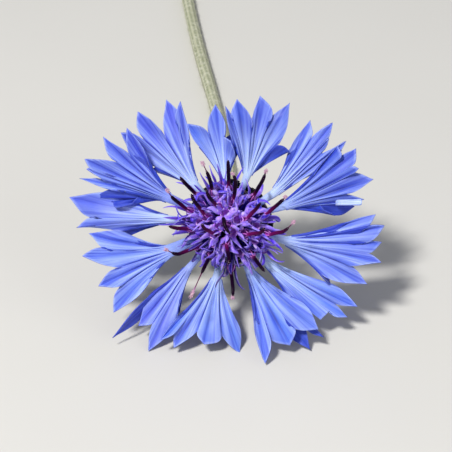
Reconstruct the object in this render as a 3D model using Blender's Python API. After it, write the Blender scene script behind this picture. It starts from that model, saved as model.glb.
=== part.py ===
"""A cut cornflower (Centaurea cyanus) lying on a flat surface, as a Blender script.

The head is built in its own frame: +Z runs out of the flower along its axis, +Y is the side
that ends up highest. That frame is then tilted and set down, so that the lowest ray florets
touch the surface and the stem curves back from the head to lie along it.
Lengths in the tables are millimetres, angles are degrees, and MM turns them into metres.
"""

from math import cos, pi, radians, sin

import bmesh
import bpy
import numpy as np
from mathutils import Matrix

MM = 0.001

# The head as a whole.
HEAD_TILT = 34.0  # how far the head's axis points above the surface
RECEPTACLE_TOP = -10.5
RECEPTACLE_RADIUS = 3.3
NECK_Z = -13.4  # where the receptacle has narrowed to the stem

# Florets stand on the receptacle in three rings and a centre one.
RAY_RING = 2.95
OUTER_DISC_RING = 2.05
INNER_DISC_RING = 1.1
SEAT_GAP = 0.25  # between a floret's foot and the receptacle
MOUTH_Z = -2.0  # the top of the bracts, where the florets spread
OVARY_LENGTH = 2.6
OVARY_RADIUS = 0.36

# Ray florets: a slender tube that opens into a pleated, lobed fan.
RAY_TUBE_RADIUS = 0.34
RAY_THROAT_RADIUS = 0.5
RAY_THICKNESS = 0.3
RAY_PLEAT = 0.22  # how far ridges rise and valleys sink between throat and rim
LOBE_BULGE = 0.3  # how round the sides of a lobe are

# Disc florets: a narrow corolla with five straps, and the column of anthers it holds.
DISC_TUBE_RADIUS = 0.29
DISC_CUP_RADIUS = 0.74
DISC_PIT_RADIUS = 0.52
DISC_PIT_DEPTH = 1.5
STRAP_LENGTH = 2.3
ANTHER_LENGTH = 5.0
ANTHER_RADIUS = 0.3
STYLE_RADIUS = 0.14
STIGMA_RADIUS = 0.22

# Bracts: rows of overlapping scales round the receptacle, the outer rows shorter.
BRACT_THICKNESS = 0.24
BRACT_PITCH = 0.42  # from one row to the next
BRACT_INNER_GAP = 0.12
BRACTS_IN_ROW = 8
BRACT_TOPS = (-1.9, -3.6, -5.6, -7.7, -9.7)
BRACT_FEET = (-10.75, -11.35, -11.95, -12.55, -13.15)
# The outermost row closes round the stem: (radius, height) of its wall's inside and outside.
BRACT_BASE_INSIDE = ((1.3, -14.3), (2.4, -14.0), (3.05, -13.6))
BRACT_BASE_OUTSIDE = ((1.3, -14.56), (2.52, -14.24), (3.27, -13.76))

# The stem.
STEM_RADIUS = 0.95
STEM_LYING_END = 92.0  # how far behind the head the cut end lies
STEM_DRIFT = ((32.0, 0.0), (44.0, -1.2), (55.0, -2.8), (66.0, -4.5), (78.0, -6.1))  # (behind, aside)
STEM_SIDES = 12

# Each ray floret: its tube's throat (angle, distance from the axis, height), then its rim
# (angle, distance, height) as flank, tip, notch, tip, ... tip, flank.
RAY_FLORETS = (
    (
        (95.5, 5.6, 0.7),
        ((110.5, 10.3, 0.9), (113.0, 13.9, 1.6), (102.4, 11.4, 1.8), (96.7, 15.4, 1.9),
         (93.5, 10.9, 1.9), (89.1, 10.5, 3.0), (84.6, 8.4, 1.9)),
    ),
    (
        (69.1, 6.5, 1.2),
        ((86.3, 10.1, 2.8), (91.5, 15.0, 3.4), (88.0, 13.4, 3.0), (86.3, 16.0, 3.5),
         (76.3, 12.6, 3.0), (76.4, 16.9, 3.6), (68.3, 13.9, 3.0), (63.2, 17.4, 3.4),
         (58.5, 11.7, 2.4), (49.6, 12.1, 1.4), (58.0, 8.6, 1.4)),
    ),
    (
        (33.5, 6.9, 0.7),
        ((48.0, 11.3, 1.1), (51.8, 17.0, 1.3), (45.8, 15.1, 1.3), (44.0, 18.6, 1.7),
         (40.0, 16.0, 1.5), (40.0, 16.9, 1.6), (37.0, 14.8, 1.4), (36.4, 18.1, 1.5),
         (31.0, 12.4, 1.0)),
    ),
    (
        (17.0, 7.2, 1.4),
        ((31.2, 12.5, 2.6), (35.5, 17.1, 2.9), (30.1, 15.9, 2.9), (30.5, 18.9, 3.3),
         (24.7, 16.7, 3.2), (22.7, 18.0, 3.4), (21.3, 16.8, 3.2), (16.9, 19.4, 3.5),
         (14.6, 14.8, 2.8), (9.8, 17.7, 2.4), (10.0, 13.8, 1.8), (5.6, 13.2, 0.9),
         (8.0, 10.2, 1.0)),
    ),
    (
        (-17.2, 7.5, 0.8),
        ((3.0, 13.4, 1.7), (3.4, 19.0, 2.0), (-0.2, 16.8, 1.8), (-2.2, 20.0, 2.1),
         (-5.6, 17.3, 1.9), (-8.0, 19.9, 2.1), (-13.5, 17.6, 2.0), (-14.4, 20.2, 2.3),
         (-20.0, 16.5, 2.0), (-23.8, 19.5, 2.2), (-29.3, 13.6, 1.8)),
    ),
    (
        (-46.0, 6.9, 0.2),
        ((-35.1, 12.8, -0.5), (-33.0, 19.9, -0.2), (-37.6, 17.0, 0.1), (-38.4, 19.7, 0.2),
         (-41.5, 17.2, 0.3), (-46.6, 17.3, 0.4), (-51.4, 11.7, 0.5)),
    ),
    (
        (-66.9, 6.6, 1.0),
        ((-73.0, 11.4, 2.4), (-75.6, 18.6, 3.1), (-69.9, 14.8, 3.0), (-63.5, 17.6, 3.3),
         (-59.5, 15.3, 3.1), (-49.9, 17.9, 3.3), (-47.2, 12.8, 2.1), (-50.2, 19.2, 1.3),
         (-53.6, 16.4, 1.0), (-57.2, 19.5, 0.6), (-60.0, 15.0, 0.8)),
    ),
    (
        (257.4, 7.0, 0.9),
        ((243.1, 13.0, 1.9), (239.6, 17.4, 2.3), (245.0, 14.6, 2.1), (246.1, 17.6, 2.0),
         (254.5, 14.2, 1.9), (258.5, 15.9, 2.1), (266.0, 14.2, 1.8), (274.7, 17.2, 1.6),
         (271.6, 11.8, 1.2)),
    ),
    (
        (228.3, 7.7, 0.1),
        ((236.9, 12.1, 0.4), (237.8, 19.6, 0.7), (231.9, 15.7, 0.5), (228.6, 17.8, 0.6),
         (226.6, 16.4, 0.4), (224.5, 21.2, 0.5), (222.8, 14.6, 0.4)),
    ),
    (
        (205.1, 8.4, 1.8),
        ((192.7, 11.8, 2.4), (184.2, 18.1, 2.9), (193.5, 15.7, 2.8), (192.6, 19.3, 3.0),
         (202.9, 15.0, 2.8), (205.8, 18.6, 3.0), (210.3, 15.5, 2.7), (217.8, 18.8, 2.7),
         (214.6, 11.8, 2.1)),
    ),
    (
        (176.5, 7.6, 0.6),
        ((168.3, 12.2, 0.9), (170.9, 20.9, 1.2), (177.7, 16.8, 1.3), (181.9, 19.8, 1.2),
         (184.2, 14.0, 0.9)),
    ),
    (
        (157.5, 8.2, 1.2),
        ((143.8, 12.5, 2.7), (137.2, 17.9, 3.0), (146.0, 15.4, 2.9), (145.5, 19.6, 3.1),
         (151.5, 16.3, 2.9), (156.1, 20.2, 3.2), (158.4, 18.0, 3.1), (159.1, 19.5, 3.2),
         (161.5, 16.9, 3.0), (163.3, 20.1, 3.1), (163.6, 14.6, 2.6)),
    ),
    (
        (131.8, 6.5, 0.6),
        ((116.0, 10.8, 1.3), (112.0, 16.9, 1.7), (117.0, 14.2, 1.6), (117.6, 17.9, 1.7),
         (127.2, 13.6, 1.6), (129.3, 18.6, 1.6), (135.6, 15.3, 1.2), (140.2, 18.2, 0.9),
         (142.0, 12.0, 0.6)),
    ),
)

# Each disc floret: the mouth of its corolla and the tip of its anthers, both as
# (angle, distance from the axis), then the height of the mouth.
CENTRE_DISC_FLORET = ((200.0, 0.4), (75.0, 0.9), 5.9)
INNER_DISC_FLORETS = (
    ((12.0, 2.2), (30.0, 4.5), 5.0),
    ((78.0, 2.7), (81.0, 5.9), 5.0),
    ((124.0, 2.4), (128.0, 4.6), 5.2),
    ((163.0, 3.0), (146.0, 5.7), 4.9),
    ((216.0, 2.3), (190.0, 3.4), 5.2),
    ((262.0, 2.5), (271.0, 4.9), 4.9),
    ((-35.0, 2.5), (-15.0, 4.6), 5.0),
)
OUTER_DISC_FLORETS = (
    ((11.0, 4.5), (23.0, 7.4), 3.9),
    ((47.0, 4.3), (52.0, 7.4), 4.0),
    ((90.0, 4.3), (91.0, 7.7), 4.1),
    ((117.0, 4.4), (113.0, 6.8), 4.0),
    ((139.0, 5.2), (137.5, 8.2), 3.3),
    ((163.0, 5.2), (160.0, 8.2), 3.2),
    ((189.0, 4.9), (185.0, 7.2), 3.5),
    ((217.0, 5.0), (214.0, 8.2), 2.6),
    ((240.0, 4.6), (241.0, 6.8), 3.2),
    ((272.0, 5.6), (273.6, 8.9), 2.6),
    ((-54.0, 4.9), (-54.0, 7.2), 3.4),
    ((-17.0, 5.0), (-8.0, 7.4), 3.6),
)


def linear(hex_colour):
    """An sRGB colour written as six hex digits, as the linear RGBA that a shader takes."""
    shares = [int(hex_colour[i:i + 2], 16) / 255 for i in (0, 2, 4)]
    return [c / 12.92 if c <= 0.04045 else ((c + 0.055) / 1.055) ** 2.4 for c in shares] + [1.0]


def material(name, hex_colour, roughness):
    made = bpy.data.materials.new(name)
    made.use_nodes = True
    shader = made.node_tree.nodes["Principled BSDF"]
    shader.inputs["Base Color"].default_value = linear(hex_colour)
    shader.inputs["Roughness"].default_value = roughness
    shader.inputs["Metallic"].default_value = 0.0
    made.diffuse_color = linear(hex_colour)
    return made


def polar(angle, distance, height):
    return np.array([distance * cos(radians(angle)), distance * sin(radians(angle)), height])


def solid(name, points, faces, made_of, parent):
    """One closed body from points in millimetres, with its faces turned outwards."""
    shape = bmesh.new()
    corners = [shape.verts.new(p * MM) for p in np.asarray(points, float)]
    for face in faces:
        shape.faces.new([corners[i] for i in face])
    bmesh.ops.recalc_face_normals(shape, faces=shape.faces)
    mesh = bpy.data.meshes.new(name)
    shape.to_mesh(mesh)
    shape.free()
    mesh.shade_smooth()
    mesh.set_sharp_from_angle(angle=radians(50))
    mesh.materials.append(made_of)
    made = bpy.data.objects.new(name, mesh)
    bpy.context.scene.collection.objects.link(made)
    made.parent = parent
    return made


def smooth_path(points, steps):
    """A Catmull-Rom curve through the points, with this many steps between neighbours."""
    points = np.array(points, float)
    padded = np.vstack([2 * points[0] - points[1], points, 2 * points[-1] - points[-2]])
    t = np.linspace(0, 1, steps, endpoint=False)[:, None]
    parts = []
    for a, b, c, d in zip(padded, padded[1:], padded[2:], padded[3:]):
        parts.append(0.5 * (2 * b + (c - a) * t + (2 * a - 5 * b + 4 * c - d) * t**2
                            + (3 * b - a - 3 * c + d) * t**3))
    return np.vstack([*parts, points[-1:]])


def along(path, distances):
    """Points of the path at these distances from its start."""
    travelled = np.concatenate([[0], np.cumsum(np.linalg.norm(np.diff(path, axis=0), axis=1))])
    return np.stack([np.interp(distances, travelled, path[:, i]) for i in range(3)], axis=1)


def path_length(path):
    return float(np.linalg.norm(np.diff(path, axis=0), axis=1).sum())


def rings(path, radii, sides, side=(1.0, 0.0, 0.0)):
    """Circles round the path, each turned as little as possible from the one before."""
    tangents = np.gradient(path, axis=0)
    tangents /= np.linalg.norm(tangents, axis=1, keepdims=True)
    turn = np.linspace(0, 2 * pi, sides, endpoint=False)[:, None]
    side = np.array(side)
    made = []
    for point, tangent, radius in zip(path, tangents, radii):
        side = side - tangent * side.dot(tangent)
        side /= np.linalg.norm(side)
        other = np.cross(tangent, side)
        made.append(point + radius * (np.cos(turn) * side + np.sin(turn) * other))
    return np.array(made)


def wall(first, second, count, closed=True):
    """Quads between two rows of vertex numbers that start at first and at second."""
    last = count if closed else count - 1
    return [(first + i, first + (i + 1) % count, second + (i + 1) % count, second + i)
            for i in range(last)]


def rod(name, path, radii, sides, made_of, parent):
    """A round solid along a path, with flat ends."""
    circles = rings(path, radii, sides)
    faces = [tuple(range(sides)), tuple(range((len(path) - 1) * sides, len(path) * sides))]
    for i in range(len(path) - 1):
        faces += wall(i * sides, (i + 1) * sides, sides)
    return solid(name, circles.reshape(-1, 3), faces, made_of, parent)


def zip_loops(first, second):
    """Triangles between two closed loops of vertex numbers that may differ in count."""
    i = j = 0
    faces = []
    while i < len(first) or j < len(second):
        step_first = j == len(second) or (i < len(first) and i / len(first) <= j / len(second))
        if step_first:
            faces.append((first[i], first[(i + 1) % len(first)], second[j % len(second)]))
            i += 1
        else:
            faces.append((first[i % len(first)], second[(j + 1) % len(second)], second[j]))
            j += 1
    return faces


def rim_outline(rim):
    """The rim with a rounded shoulder added on each side of every tip, and +1 where the fan
    has a ridge (a tip), -1 where it has a valley (a notch) and 0 on the shoulders."""
    corners = [polar(*corner) for corner in rim]
    outline, pleats = [corners[0]], [-1.0]
    for i in range(1, len(corners) - 1, 2):
        left, tip, right = corners[i - 1:i + 2]
        middle = (2 * tip + left + right) / 4
        for shoulder in ((left + tip) / 2, (tip + right) / 2):
            outline.append(shoulder + LOBE_BULGE * (shoulder - middle))
        outline.insert(-1, tip)
        outline.append(right)
        pleats += [0.0, 1.0, 0.0, -1.0]
    return np.array(outline), np.array(pleats)


def ray_floret(name, ring_angle, throat, rim, made_of, parent):
    """A tube from the receptacle out to its throat, where it opens into a fan whose columns
    run straight from the throat to the rim."""
    throat_at = polar(*throat)
    outward = polar(throat[0], 1.0, 0.0)
    across = np.cross((0, 0, 1), outward)
    foot = RECEPTACLE_TOP + SEAT_GAP
    path = smooth_path([
        polar(ring_angle, RAY_RING, foot),
        polar(ring_angle, RAY_RING, foot + OVARY_LENGTH),
        polar(ring_angle, RAY_RING, MOUTH_Z - 1.5),
        polar((ring_angle + throat[0]) / 2, RAY_RING + 0.5, MOUTH_Z + 0.9),
        throat_at - outward * (throat[1] - 4.4) + (0, 0, -0.45 * (throat[1] - 4.4)),
        throat_at,
    ], 8)
    whole = path_length(path)
    stops = np.array([0, 0.5, OVARY_LENGTH, OVARY_LENGTH + 0.5, 7.2, 8.8, 10.4, whole - 0.9])
    radii = np.interp(
        stops, [0, 0.5, OVARY_LENGTH, OVARY_LENGTH + 0.5, whole - 2, whole - 0.9],
        [0.6 * OVARY_RADIUS, OVARY_RADIUS, OVARY_RADIUS, 0.8 * RAY_TUBE_RADIUS,
         RAY_TUBE_RADIUS, RAY_TUBE_RADIUS])
    sides = 8
    circles = rings(along(path, stops), radii, sides, side=across)

    edge, pleats = rim_outline(rim)
    turned = np.cross(edge - throat_at, outward)[:, 2]
    if turned[0] > turned[-1]:
        edge, pleats = edge[::-1], pleats[::-1]
    spread = np.linspace(-1, 1, len(edge))[:, None]
    start = throat_at - spread * RAY_THROAT_RADIUS * across
    start = start + (0.9 * spread**2 - 0.45) * RAY_THROAT_RADIUS * np.array([0, 0, 1.0])
    shares = np.array([0.0, 0.3, 0.65, 1.0])[:, None, None]
    middle = start + (edge - start) * shares
    middle[..., 2] = start[:, 2] + (edge[:, 2] - start[:, 2]) * shares[..., 0] ** 1.3
    middle[..., 2] += RAY_PLEAT * np.sin(pi * 0.8 * shares[..., 0]) * pleats
    lengthwise = np.gradient(middle, axis=0)
    crosswise = np.gradient(middle, axis=1)
    normal = np.cross(lengthwise, crosswise)
    normal /= np.linalg.norm(normal, axis=2, keepdims=True)
    half = RAY_THICKNESS / 2 * np.interp(shares, [0, 1], [1.0, 0.7])
    front, back = middle + normal * half, middle - normal * half

    rows, columns = middle.shape[:2]
    points = np.vstack([circles.reshape(-1, 3), front.reshape(-1, 3), back.reshape(-1, 3)])
    first, second = len(stops) * sides, len(stops) * sides + rows * columns
    faces = [tuple(range(sides))]
    for i in range(len(stops) - 1):
        faces += wall(i * sides, (i + 1) * sides, sides)
    # Both sheets are split along the same diagonals, so that they stay parallel.
    for sheet in (first, second):
        for i in range(rows - 1):
            quads = wall(sheet + i * columns, sheet + (i + 1) * columns, columns, closed=False)
            faces += [half for a, b, c, d in quads for half in ((a, b, c), (a, c, d))]
    for i in range(rows - 1):
        for side in (0, columns - 1):
            a, b = i * columns + side, (i + 1) * columns + side
            faces.append((first + a, first + b, second + b, second + a))
    last_row = (rows - 1) * columns
    faces += wall(first + last_row, second + last_row, columns, closed=False)
    throat_loop = [first + i for i in range(columns)]
    throat_loop += [second + i for i in reversed(range(columns))]
    tube_end = list(range((len(stops) - 1) * sides, len(stops) * sides))
    nearest = int(np.argmin(np.linalg.norm(circles[-1] - front[0, 0], axis=1)))
    tube_end = tube_end[nearest:] + tube_end[:nearest]
    way = points[throat_loop[1]] - points[throat_loop[0]]
    if (points[tube_end[1]] - points[tube_end[0]]).dot(way) < 0:
        tube_end = [tube_end[0], *reversed(tube_end[1:])]
    faces += zip_loops(tube_end, throat_loop)
    return solid(name, points, faces, made_of, parent)


def disc_centreline(ring_angle, ring, mouth, tip, mouth_height):
    """The curve that a disc floret follows: up from the receptacle, out to its corolla's
    mouth and on to the tip of its anthers. Also how far along it the mouth is."""
    foot = RECEPTACLE_TOP + SEAT_GAP
    opening = polar(*mouth, mouth_height)
    end = polar(*tip, 0.0)
    sideways = np.linalg.norm((end - opening)[:2])
    end[2] = mouth_height + max(ANTHER_LENGTH**2 - sideways**2, (0.35 * ANTHER_LENGTH)**2) ** 0.5
    middle = (opening + end) / 2 + (0, 0, 0.25)
    path = smooth_path([
        polar(ring_angle, ring, foot),
        polar(ring_angle, ring, foot + OVARY_LENGTH),
        polar(ring_angle, ring, MOUTH_Z - 1.2),
        polar((ring_angle + mouth[0]) / 2, ring + 0.12 * (mouth[1] - ring), MOUTH_Z + 1.8),
        opening, middle, end,
    ], 10)
    return path, path_length(path[:41])


def disc_corolla(name, path, mouth_at, made_of, parent):
    """A tube that widens into a cup with a pit for the anthers, and five straps on its rim."""
    sides = 10
    stops = np.array([0.0, 0.5, OVARY_LENGTH, OVARY_LENGTH + 0.5, 8.0,
                      mouth_at - 3.2, mouth_at - 1.7, mouth_at])
    radii = np.array([0.6 * OVARY_RADIUS, OVARY_RADIUS, OVARY_RADIUS, 0.8 * DISC_TUBE_RADIUS,
                      DISC_TUBE_RADIUS, 1.2 * DISC_TUBE_RADIUS, DISC_CUP_RADIUS - 0.06,
                      DISC_CUP_RADIUS])
    outer = rings(along(path, stops), radii, sides)
    pit_stops = np.array([mouth_at - DISC_PIT_DEPTH, mouth_at])
    centre = along(path, pit_stops)
    inner = np.array([centre[i] + (outer[-1] - along(path, [mouth_at])[0])
                      * DISC_PIT_RADIUS / DISC_CUP_RADIUS for i in range(2)])
    points = [*outer.reshape(-1, 3), *inner.reshape(-1, 3)]
    rim, pit = (len(stops) - 1) * sides, len(stops) * sides
    lip = pit + sides
    faces = [tuple(range(sides)), tuple(range(pit, pit + sides))]
    for i in range(len(stops) - 1):
        faces += wall(i * sides, (i + 1) * sides, sides)
    faces += wall(pit, lip, sides)
    axis = centre[1] - centre[0]
    axis /= np.linalg.norm(axis)
    for i in range(sides):
        j = (i + 1) % sides
        loop = [rim + i, rim + j, lip + j, lip + i]
        if i % 2:
            faces.append(tuple(loop))
            continue
        base = np.array([points[k] for k in loop])
        middle = base.mean(axis=0)
        away = middle - centre[1]
        away /= np.linalg.norm(away)
        for share, lean, size in ((0.55, 0.10, 0.85), (1.0, 0.2, 0.35)):
            moved = middle + STRAP_LENGTH * (share * axis + lean * away) + (base - middle) * size
            start = len(points)
            points += list(moved)
            fresh = list(range(start, start + 4))
            for k in range(4):
                n = (k + 1) % 4
                faces.append((loop[k], loop[n], fresh[n], fresh[k]))
            loop = fresh
        faces.append(tuple(loop))
    return solid(name, points, faces, made_of, parent)


def anther_column(name, path, mouth_at, made_of, parent):
    """The joined anthers from the corolla's pit to their tip, with the style just past it."""
    start = mouth_at - DISC_PIT_DEPTH + 0.2
    end = path_length(path)
    stops = np.array([start, start + 1.0, mouth_at + 1.2, mouth_at + 2.9, end - 1.1, end - 0.8,
                      end - 0.4, end])
    radii = np.array([0.2, 0.26, 0.3, ANTHER_RADIUS, 0.26, STYLE_RADIUS, STIGMA_RADIUS,
                      STYLE_RADIUS])
    return rod(name, along(path, stops), radii, 6, made_of, parent)


def cavity_radius(z):
    """The inside of the innermost bracts: an urn that holds the floret tubes."""
    return np.interp(z, [-13.4, -12.6, -11.4, -10.2, -8.0, -5.5, -3.5, -1.5],
                     [1.35, 1.9, 3.0, 3.6, 3.75, 3.62, 3.5, 3.55])


def bract_row(name, row, made_of, parent):
    """One row of bracts as a cup whose rim rises to a tip in the middle of each bract."""
    columns = 4 * BRACTS_IN_ROW
    turn = (np.arange(columns) + 2 * (row % 2)) * 2 * pi / columns
    tip_share = np.abs(((np.arange(columns) / 4) % 1) - 0.5) * 2
    top = BRACT_TOPS[row] - 2.1 * (1 - tip_share) ** 1.5
    foot = BRACT_FEET[row]
    offset = BRACT_INNER_GAP + row * BRACT_PITCH
    heights = [foot + (top - foot) * share for share in (0.0, 0.15, 0.32, 0.6, 1.0)]
    inside = [(cavity_radius(height) + offset, height) for height in heights]
    outside = [(radius + BRACT_THICKNESS, height) for radius, height in inside]
    if foot == min(BRACT_FEET):
        inside = [*BRACT_BASE_INSIDE, *inside]
        outside = [*BRACT_BASE_OUTSIDE, *outside]
    points = []
    for radius, height in inside + outside:
        points += list(np.stack([radius * np.cos(turn), radius * np.sin(turn),
                                 height + 0 * turn], axis=1))
    faces = []
    half = len(inside) * columns
    for side in (0, half):
        for i in range(len(inside) - 1):
            faces += wall(side + i * columns, side + (i + 1) * columns, columns)
    faces += wall(0, half, columns)
    faces += wall(half - columns, 2 * half - columns, columns)
    return solid(name, points, faces, made_of, parent)


def head_to_root(head_height):
    """The head's tilt and place as a 4 x 4 matrix, in millimetres."""
    tilt = Matrix.Rotation(radians(90 - HEAD_TILT), 4, "X")
    return np.array(Matrix.Translation((0, 0, head_height)) @ tilt)


def stem(name, head_height, made_of, parent):
    """The stem and the receptacle it widens into: down the head's axis, round in one even
    bend to the surface, then along it to the cut end."""
    place = head_to_root(head_height)
    down = -place[:3, 2]
    neck = place[:3, 3] + place[:3, 2] * NECK_Z
    turn = radians(HEAD_TILT)
    bend = (neck[2] - STEM_RADIUS) / (1 - cos(turn))
    angles = np.linspace(0, turn, 9)
    curve = [neck + (0, bend * (sin(turn) - sin(turn - a)), -bend * (cos(turn - a) - cos(turn)))
             for a in angles]
    touch = curve[-1]
    behind = [touch + (0, 6, 0)]
    behind += [np.array([x, y, STEM_RADIUS]) for y, x in STEM_DRIFT if y > touch[1] + 12]
    behind.append(np.array([2 * behind[-1][0] - behind[-2][0], STEM_LYING_END, STEM_RADIUS]))
    lying = smooth_path([touch, *behind], 3)[1:]
    plate = [(RECEPTACLE_TOP, RECEPTACLE_RADIUS), (RECEPTACLE_TOP - 0.5, RECEPTACLE_RADIUS),
             (RECEPTACLE_TOP - 1.3, 2.45), (RECEPTACLE_TOP - 2.2, 1.5)]
    path = [place[:3, 3] - down * z for z, _ in plate] + curve + list(lying)
    radii = [radius for _, radius in plate] + [STEM_RADIUS + 0.1]
    radii += [STEM_RADIUS] * (len(path) - len(radii))
    return rod(name, np.array(path), radii, STEM_SIDES, made_of, parent)


def lowest_point(objects, tilt):
    """How far below the head's centre its lowest corner lies once the head is tilted."""
    return min(float((tilt @ corner.co)[2]) for made in objects for corner in made.data.vertices)


def even_ring(directions, way=1):
    """Evenly spaced seats round a ring, turned to suit the directions that its florets take,
    which run anticlockwise, or clockwise with way -1. Each is within half a turn of its own."""
    directions = np.array(directions)
    seats = way * np.arange(len(directions)) * 360 / len(directions)
    shift = np.degrees(np.angle(np.exp(1j * np.radians(directions - seats)).sum()))
    return directions + (seats + shift - directions + 180) % 360 - 180


def set_down(root, objects):
    """Moves the whole flower so that the origin is under the middle of its box."""
    bpy.context.view_layer.update()
    corners = [made.matrix_world @ v.co for made in objects for v in made.data.vertices]
    low, high = np.min(corners, axis=0), np.max(corners, axis=0)
    root.location = (-(low[0] + high[0]) / 2, -(low[1] + high[1]) / 2, -low[2])


def main():
    for old in list(bpy.data.objects):
        bpy.data.objects.remove(old, do_unlink=True)
    scene = bpy.context.scene
    root = bpy.data.objects.new("cornflower", None)
    head = bpy.data.objects.new("head_frame", None)
    for empty in (root, head):
        scene.collection.objects.link(empty)
    head.parent = root

    blue = material("ray_floret_blue", "5C70E6", 0.5)
    violet = material("disc_corolla_violet", "8A55D2", 0.5)
    maroon = material("anther_maroon", "2A0830", 0.4)
    bract_green = material("bract_green", "6D7F45", 0.6)
    stem_green = material("stem_grey_green", "8A9A72", 0.8)

    rays = []
    seats = even_ring([throat[0] for throat, _ in RAY_FLORETS], way=-1)
    for number, (seat, (throat, rim)) in enumerate(zip(seats, RAY_FLORETS), 1):
        rays.append(ray_floret(f"ray_floret_{number:02d}", seat, throat, rim, blue, head))

    tilt = Matrix.Rotation(radians(90 - HEAD_TILT), 4, "X")
    head_height = -lowest_point(rays, tilt)
    head.matrix_local = Matrix.Translation((0, 0, head_height)) @ tilt

    discs = []
    rings_of_florets = (
        (0.0, [CENTRE_DISC_FLORET]),
        (INNER_DISC_RING, INNER_DISC_FLORETS),
        (OUTER_DISC_RING, OUTER_DISC_FLORETS),
    )
    number = 0
    for ring, florets in rings_of_florets:
        for seat, (mouth, tip, mouth_height) in zip(even_ring([f[0][0] for f in florets]), florets):
            number += 1
            path, mouth_at = disc_centreline(seat, ring, mouth, tip, mouth_height)
            discs.append(disc_corolla(f"disc_corolla_{number:02d}", path, mouth_at, violet, head))
            discs.append(anther_column(f"anther_column_{number:02d}", path, mouth_at, maroon, head))

    bracts = [bract_row(f"bract_row_{row + 1}", row, bract_green, head)
              for row in range(len(BRACT_TOPS))]
    cut_stem = stem("stem_and_receptacle", head_height / MM, stem_green, root)
    set_down(root, [*rays, *discs, *bracts, cut_stem])


main()
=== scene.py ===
"""A picked cornflower laid on a pale table: every visible surface is worked out with numpy.

The head is drawn in its own frame, in millimetres: +Z runs out of the flower along its axis and
+Y is the side that ends up highest. The frame's bracts say where that head lies in the model.
Each floret, bract and length of stem is a function of two parameters on a grid.
"""

from math import cos, pi, radians, sin

import bpy
import numpy as np
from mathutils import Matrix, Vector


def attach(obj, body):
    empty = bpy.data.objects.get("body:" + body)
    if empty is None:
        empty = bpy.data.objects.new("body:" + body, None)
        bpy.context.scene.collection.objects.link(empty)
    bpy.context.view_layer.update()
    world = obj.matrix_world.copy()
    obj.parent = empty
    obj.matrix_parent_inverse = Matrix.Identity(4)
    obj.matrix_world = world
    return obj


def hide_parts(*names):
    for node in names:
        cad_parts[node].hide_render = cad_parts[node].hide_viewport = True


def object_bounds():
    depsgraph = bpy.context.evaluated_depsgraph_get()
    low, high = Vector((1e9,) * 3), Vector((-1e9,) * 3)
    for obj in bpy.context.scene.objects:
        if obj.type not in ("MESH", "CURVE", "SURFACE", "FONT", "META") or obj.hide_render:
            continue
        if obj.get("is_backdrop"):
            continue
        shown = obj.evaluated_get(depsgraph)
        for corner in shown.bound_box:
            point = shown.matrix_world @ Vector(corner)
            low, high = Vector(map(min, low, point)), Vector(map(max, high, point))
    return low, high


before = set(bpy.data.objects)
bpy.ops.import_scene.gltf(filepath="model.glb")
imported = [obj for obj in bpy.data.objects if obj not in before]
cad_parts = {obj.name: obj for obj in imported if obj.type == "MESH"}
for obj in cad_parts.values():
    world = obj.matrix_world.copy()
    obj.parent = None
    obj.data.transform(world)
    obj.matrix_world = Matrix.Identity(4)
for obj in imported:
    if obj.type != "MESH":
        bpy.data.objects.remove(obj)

CAD_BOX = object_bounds()

bl_info = {
    "name": "Cornflower",
    "version": (1, 0, 0),
    "blender": (4, 5, 0),
    "location": "3D View > Sidebar > Cornflower",
    "description": "Builds a picked cornflower from computed surfaces",
    "category": "Add Mesh",
}

MM = 0.001
UP = np.array([0.0, 0.0, 1.0])
TABLE_GAP = 0.1  # below this height points are eased, so that none reaches the table

# The head, as in the frame: heights along its axis and the rings that the florets stand on.
RECEPTACLE_TOP = -10.5
RECEPTACLE_RADIUS = 3.3
NECK_Z = -13.4
MOUTH_Z = -2.0
SEAT_GAP = 0.25
OVARY_LENGTH = 2.6
OVARY_RADIUS = 0.36
RAY_RING = 2.95
DISC_RINGS = (0.0, 1.1, 2.05)
DISC_PINKS = (1.0, 0.7, 0.15)  # how pink each ring's florets are: partly their own hue, partly painted light through the cups
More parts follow.
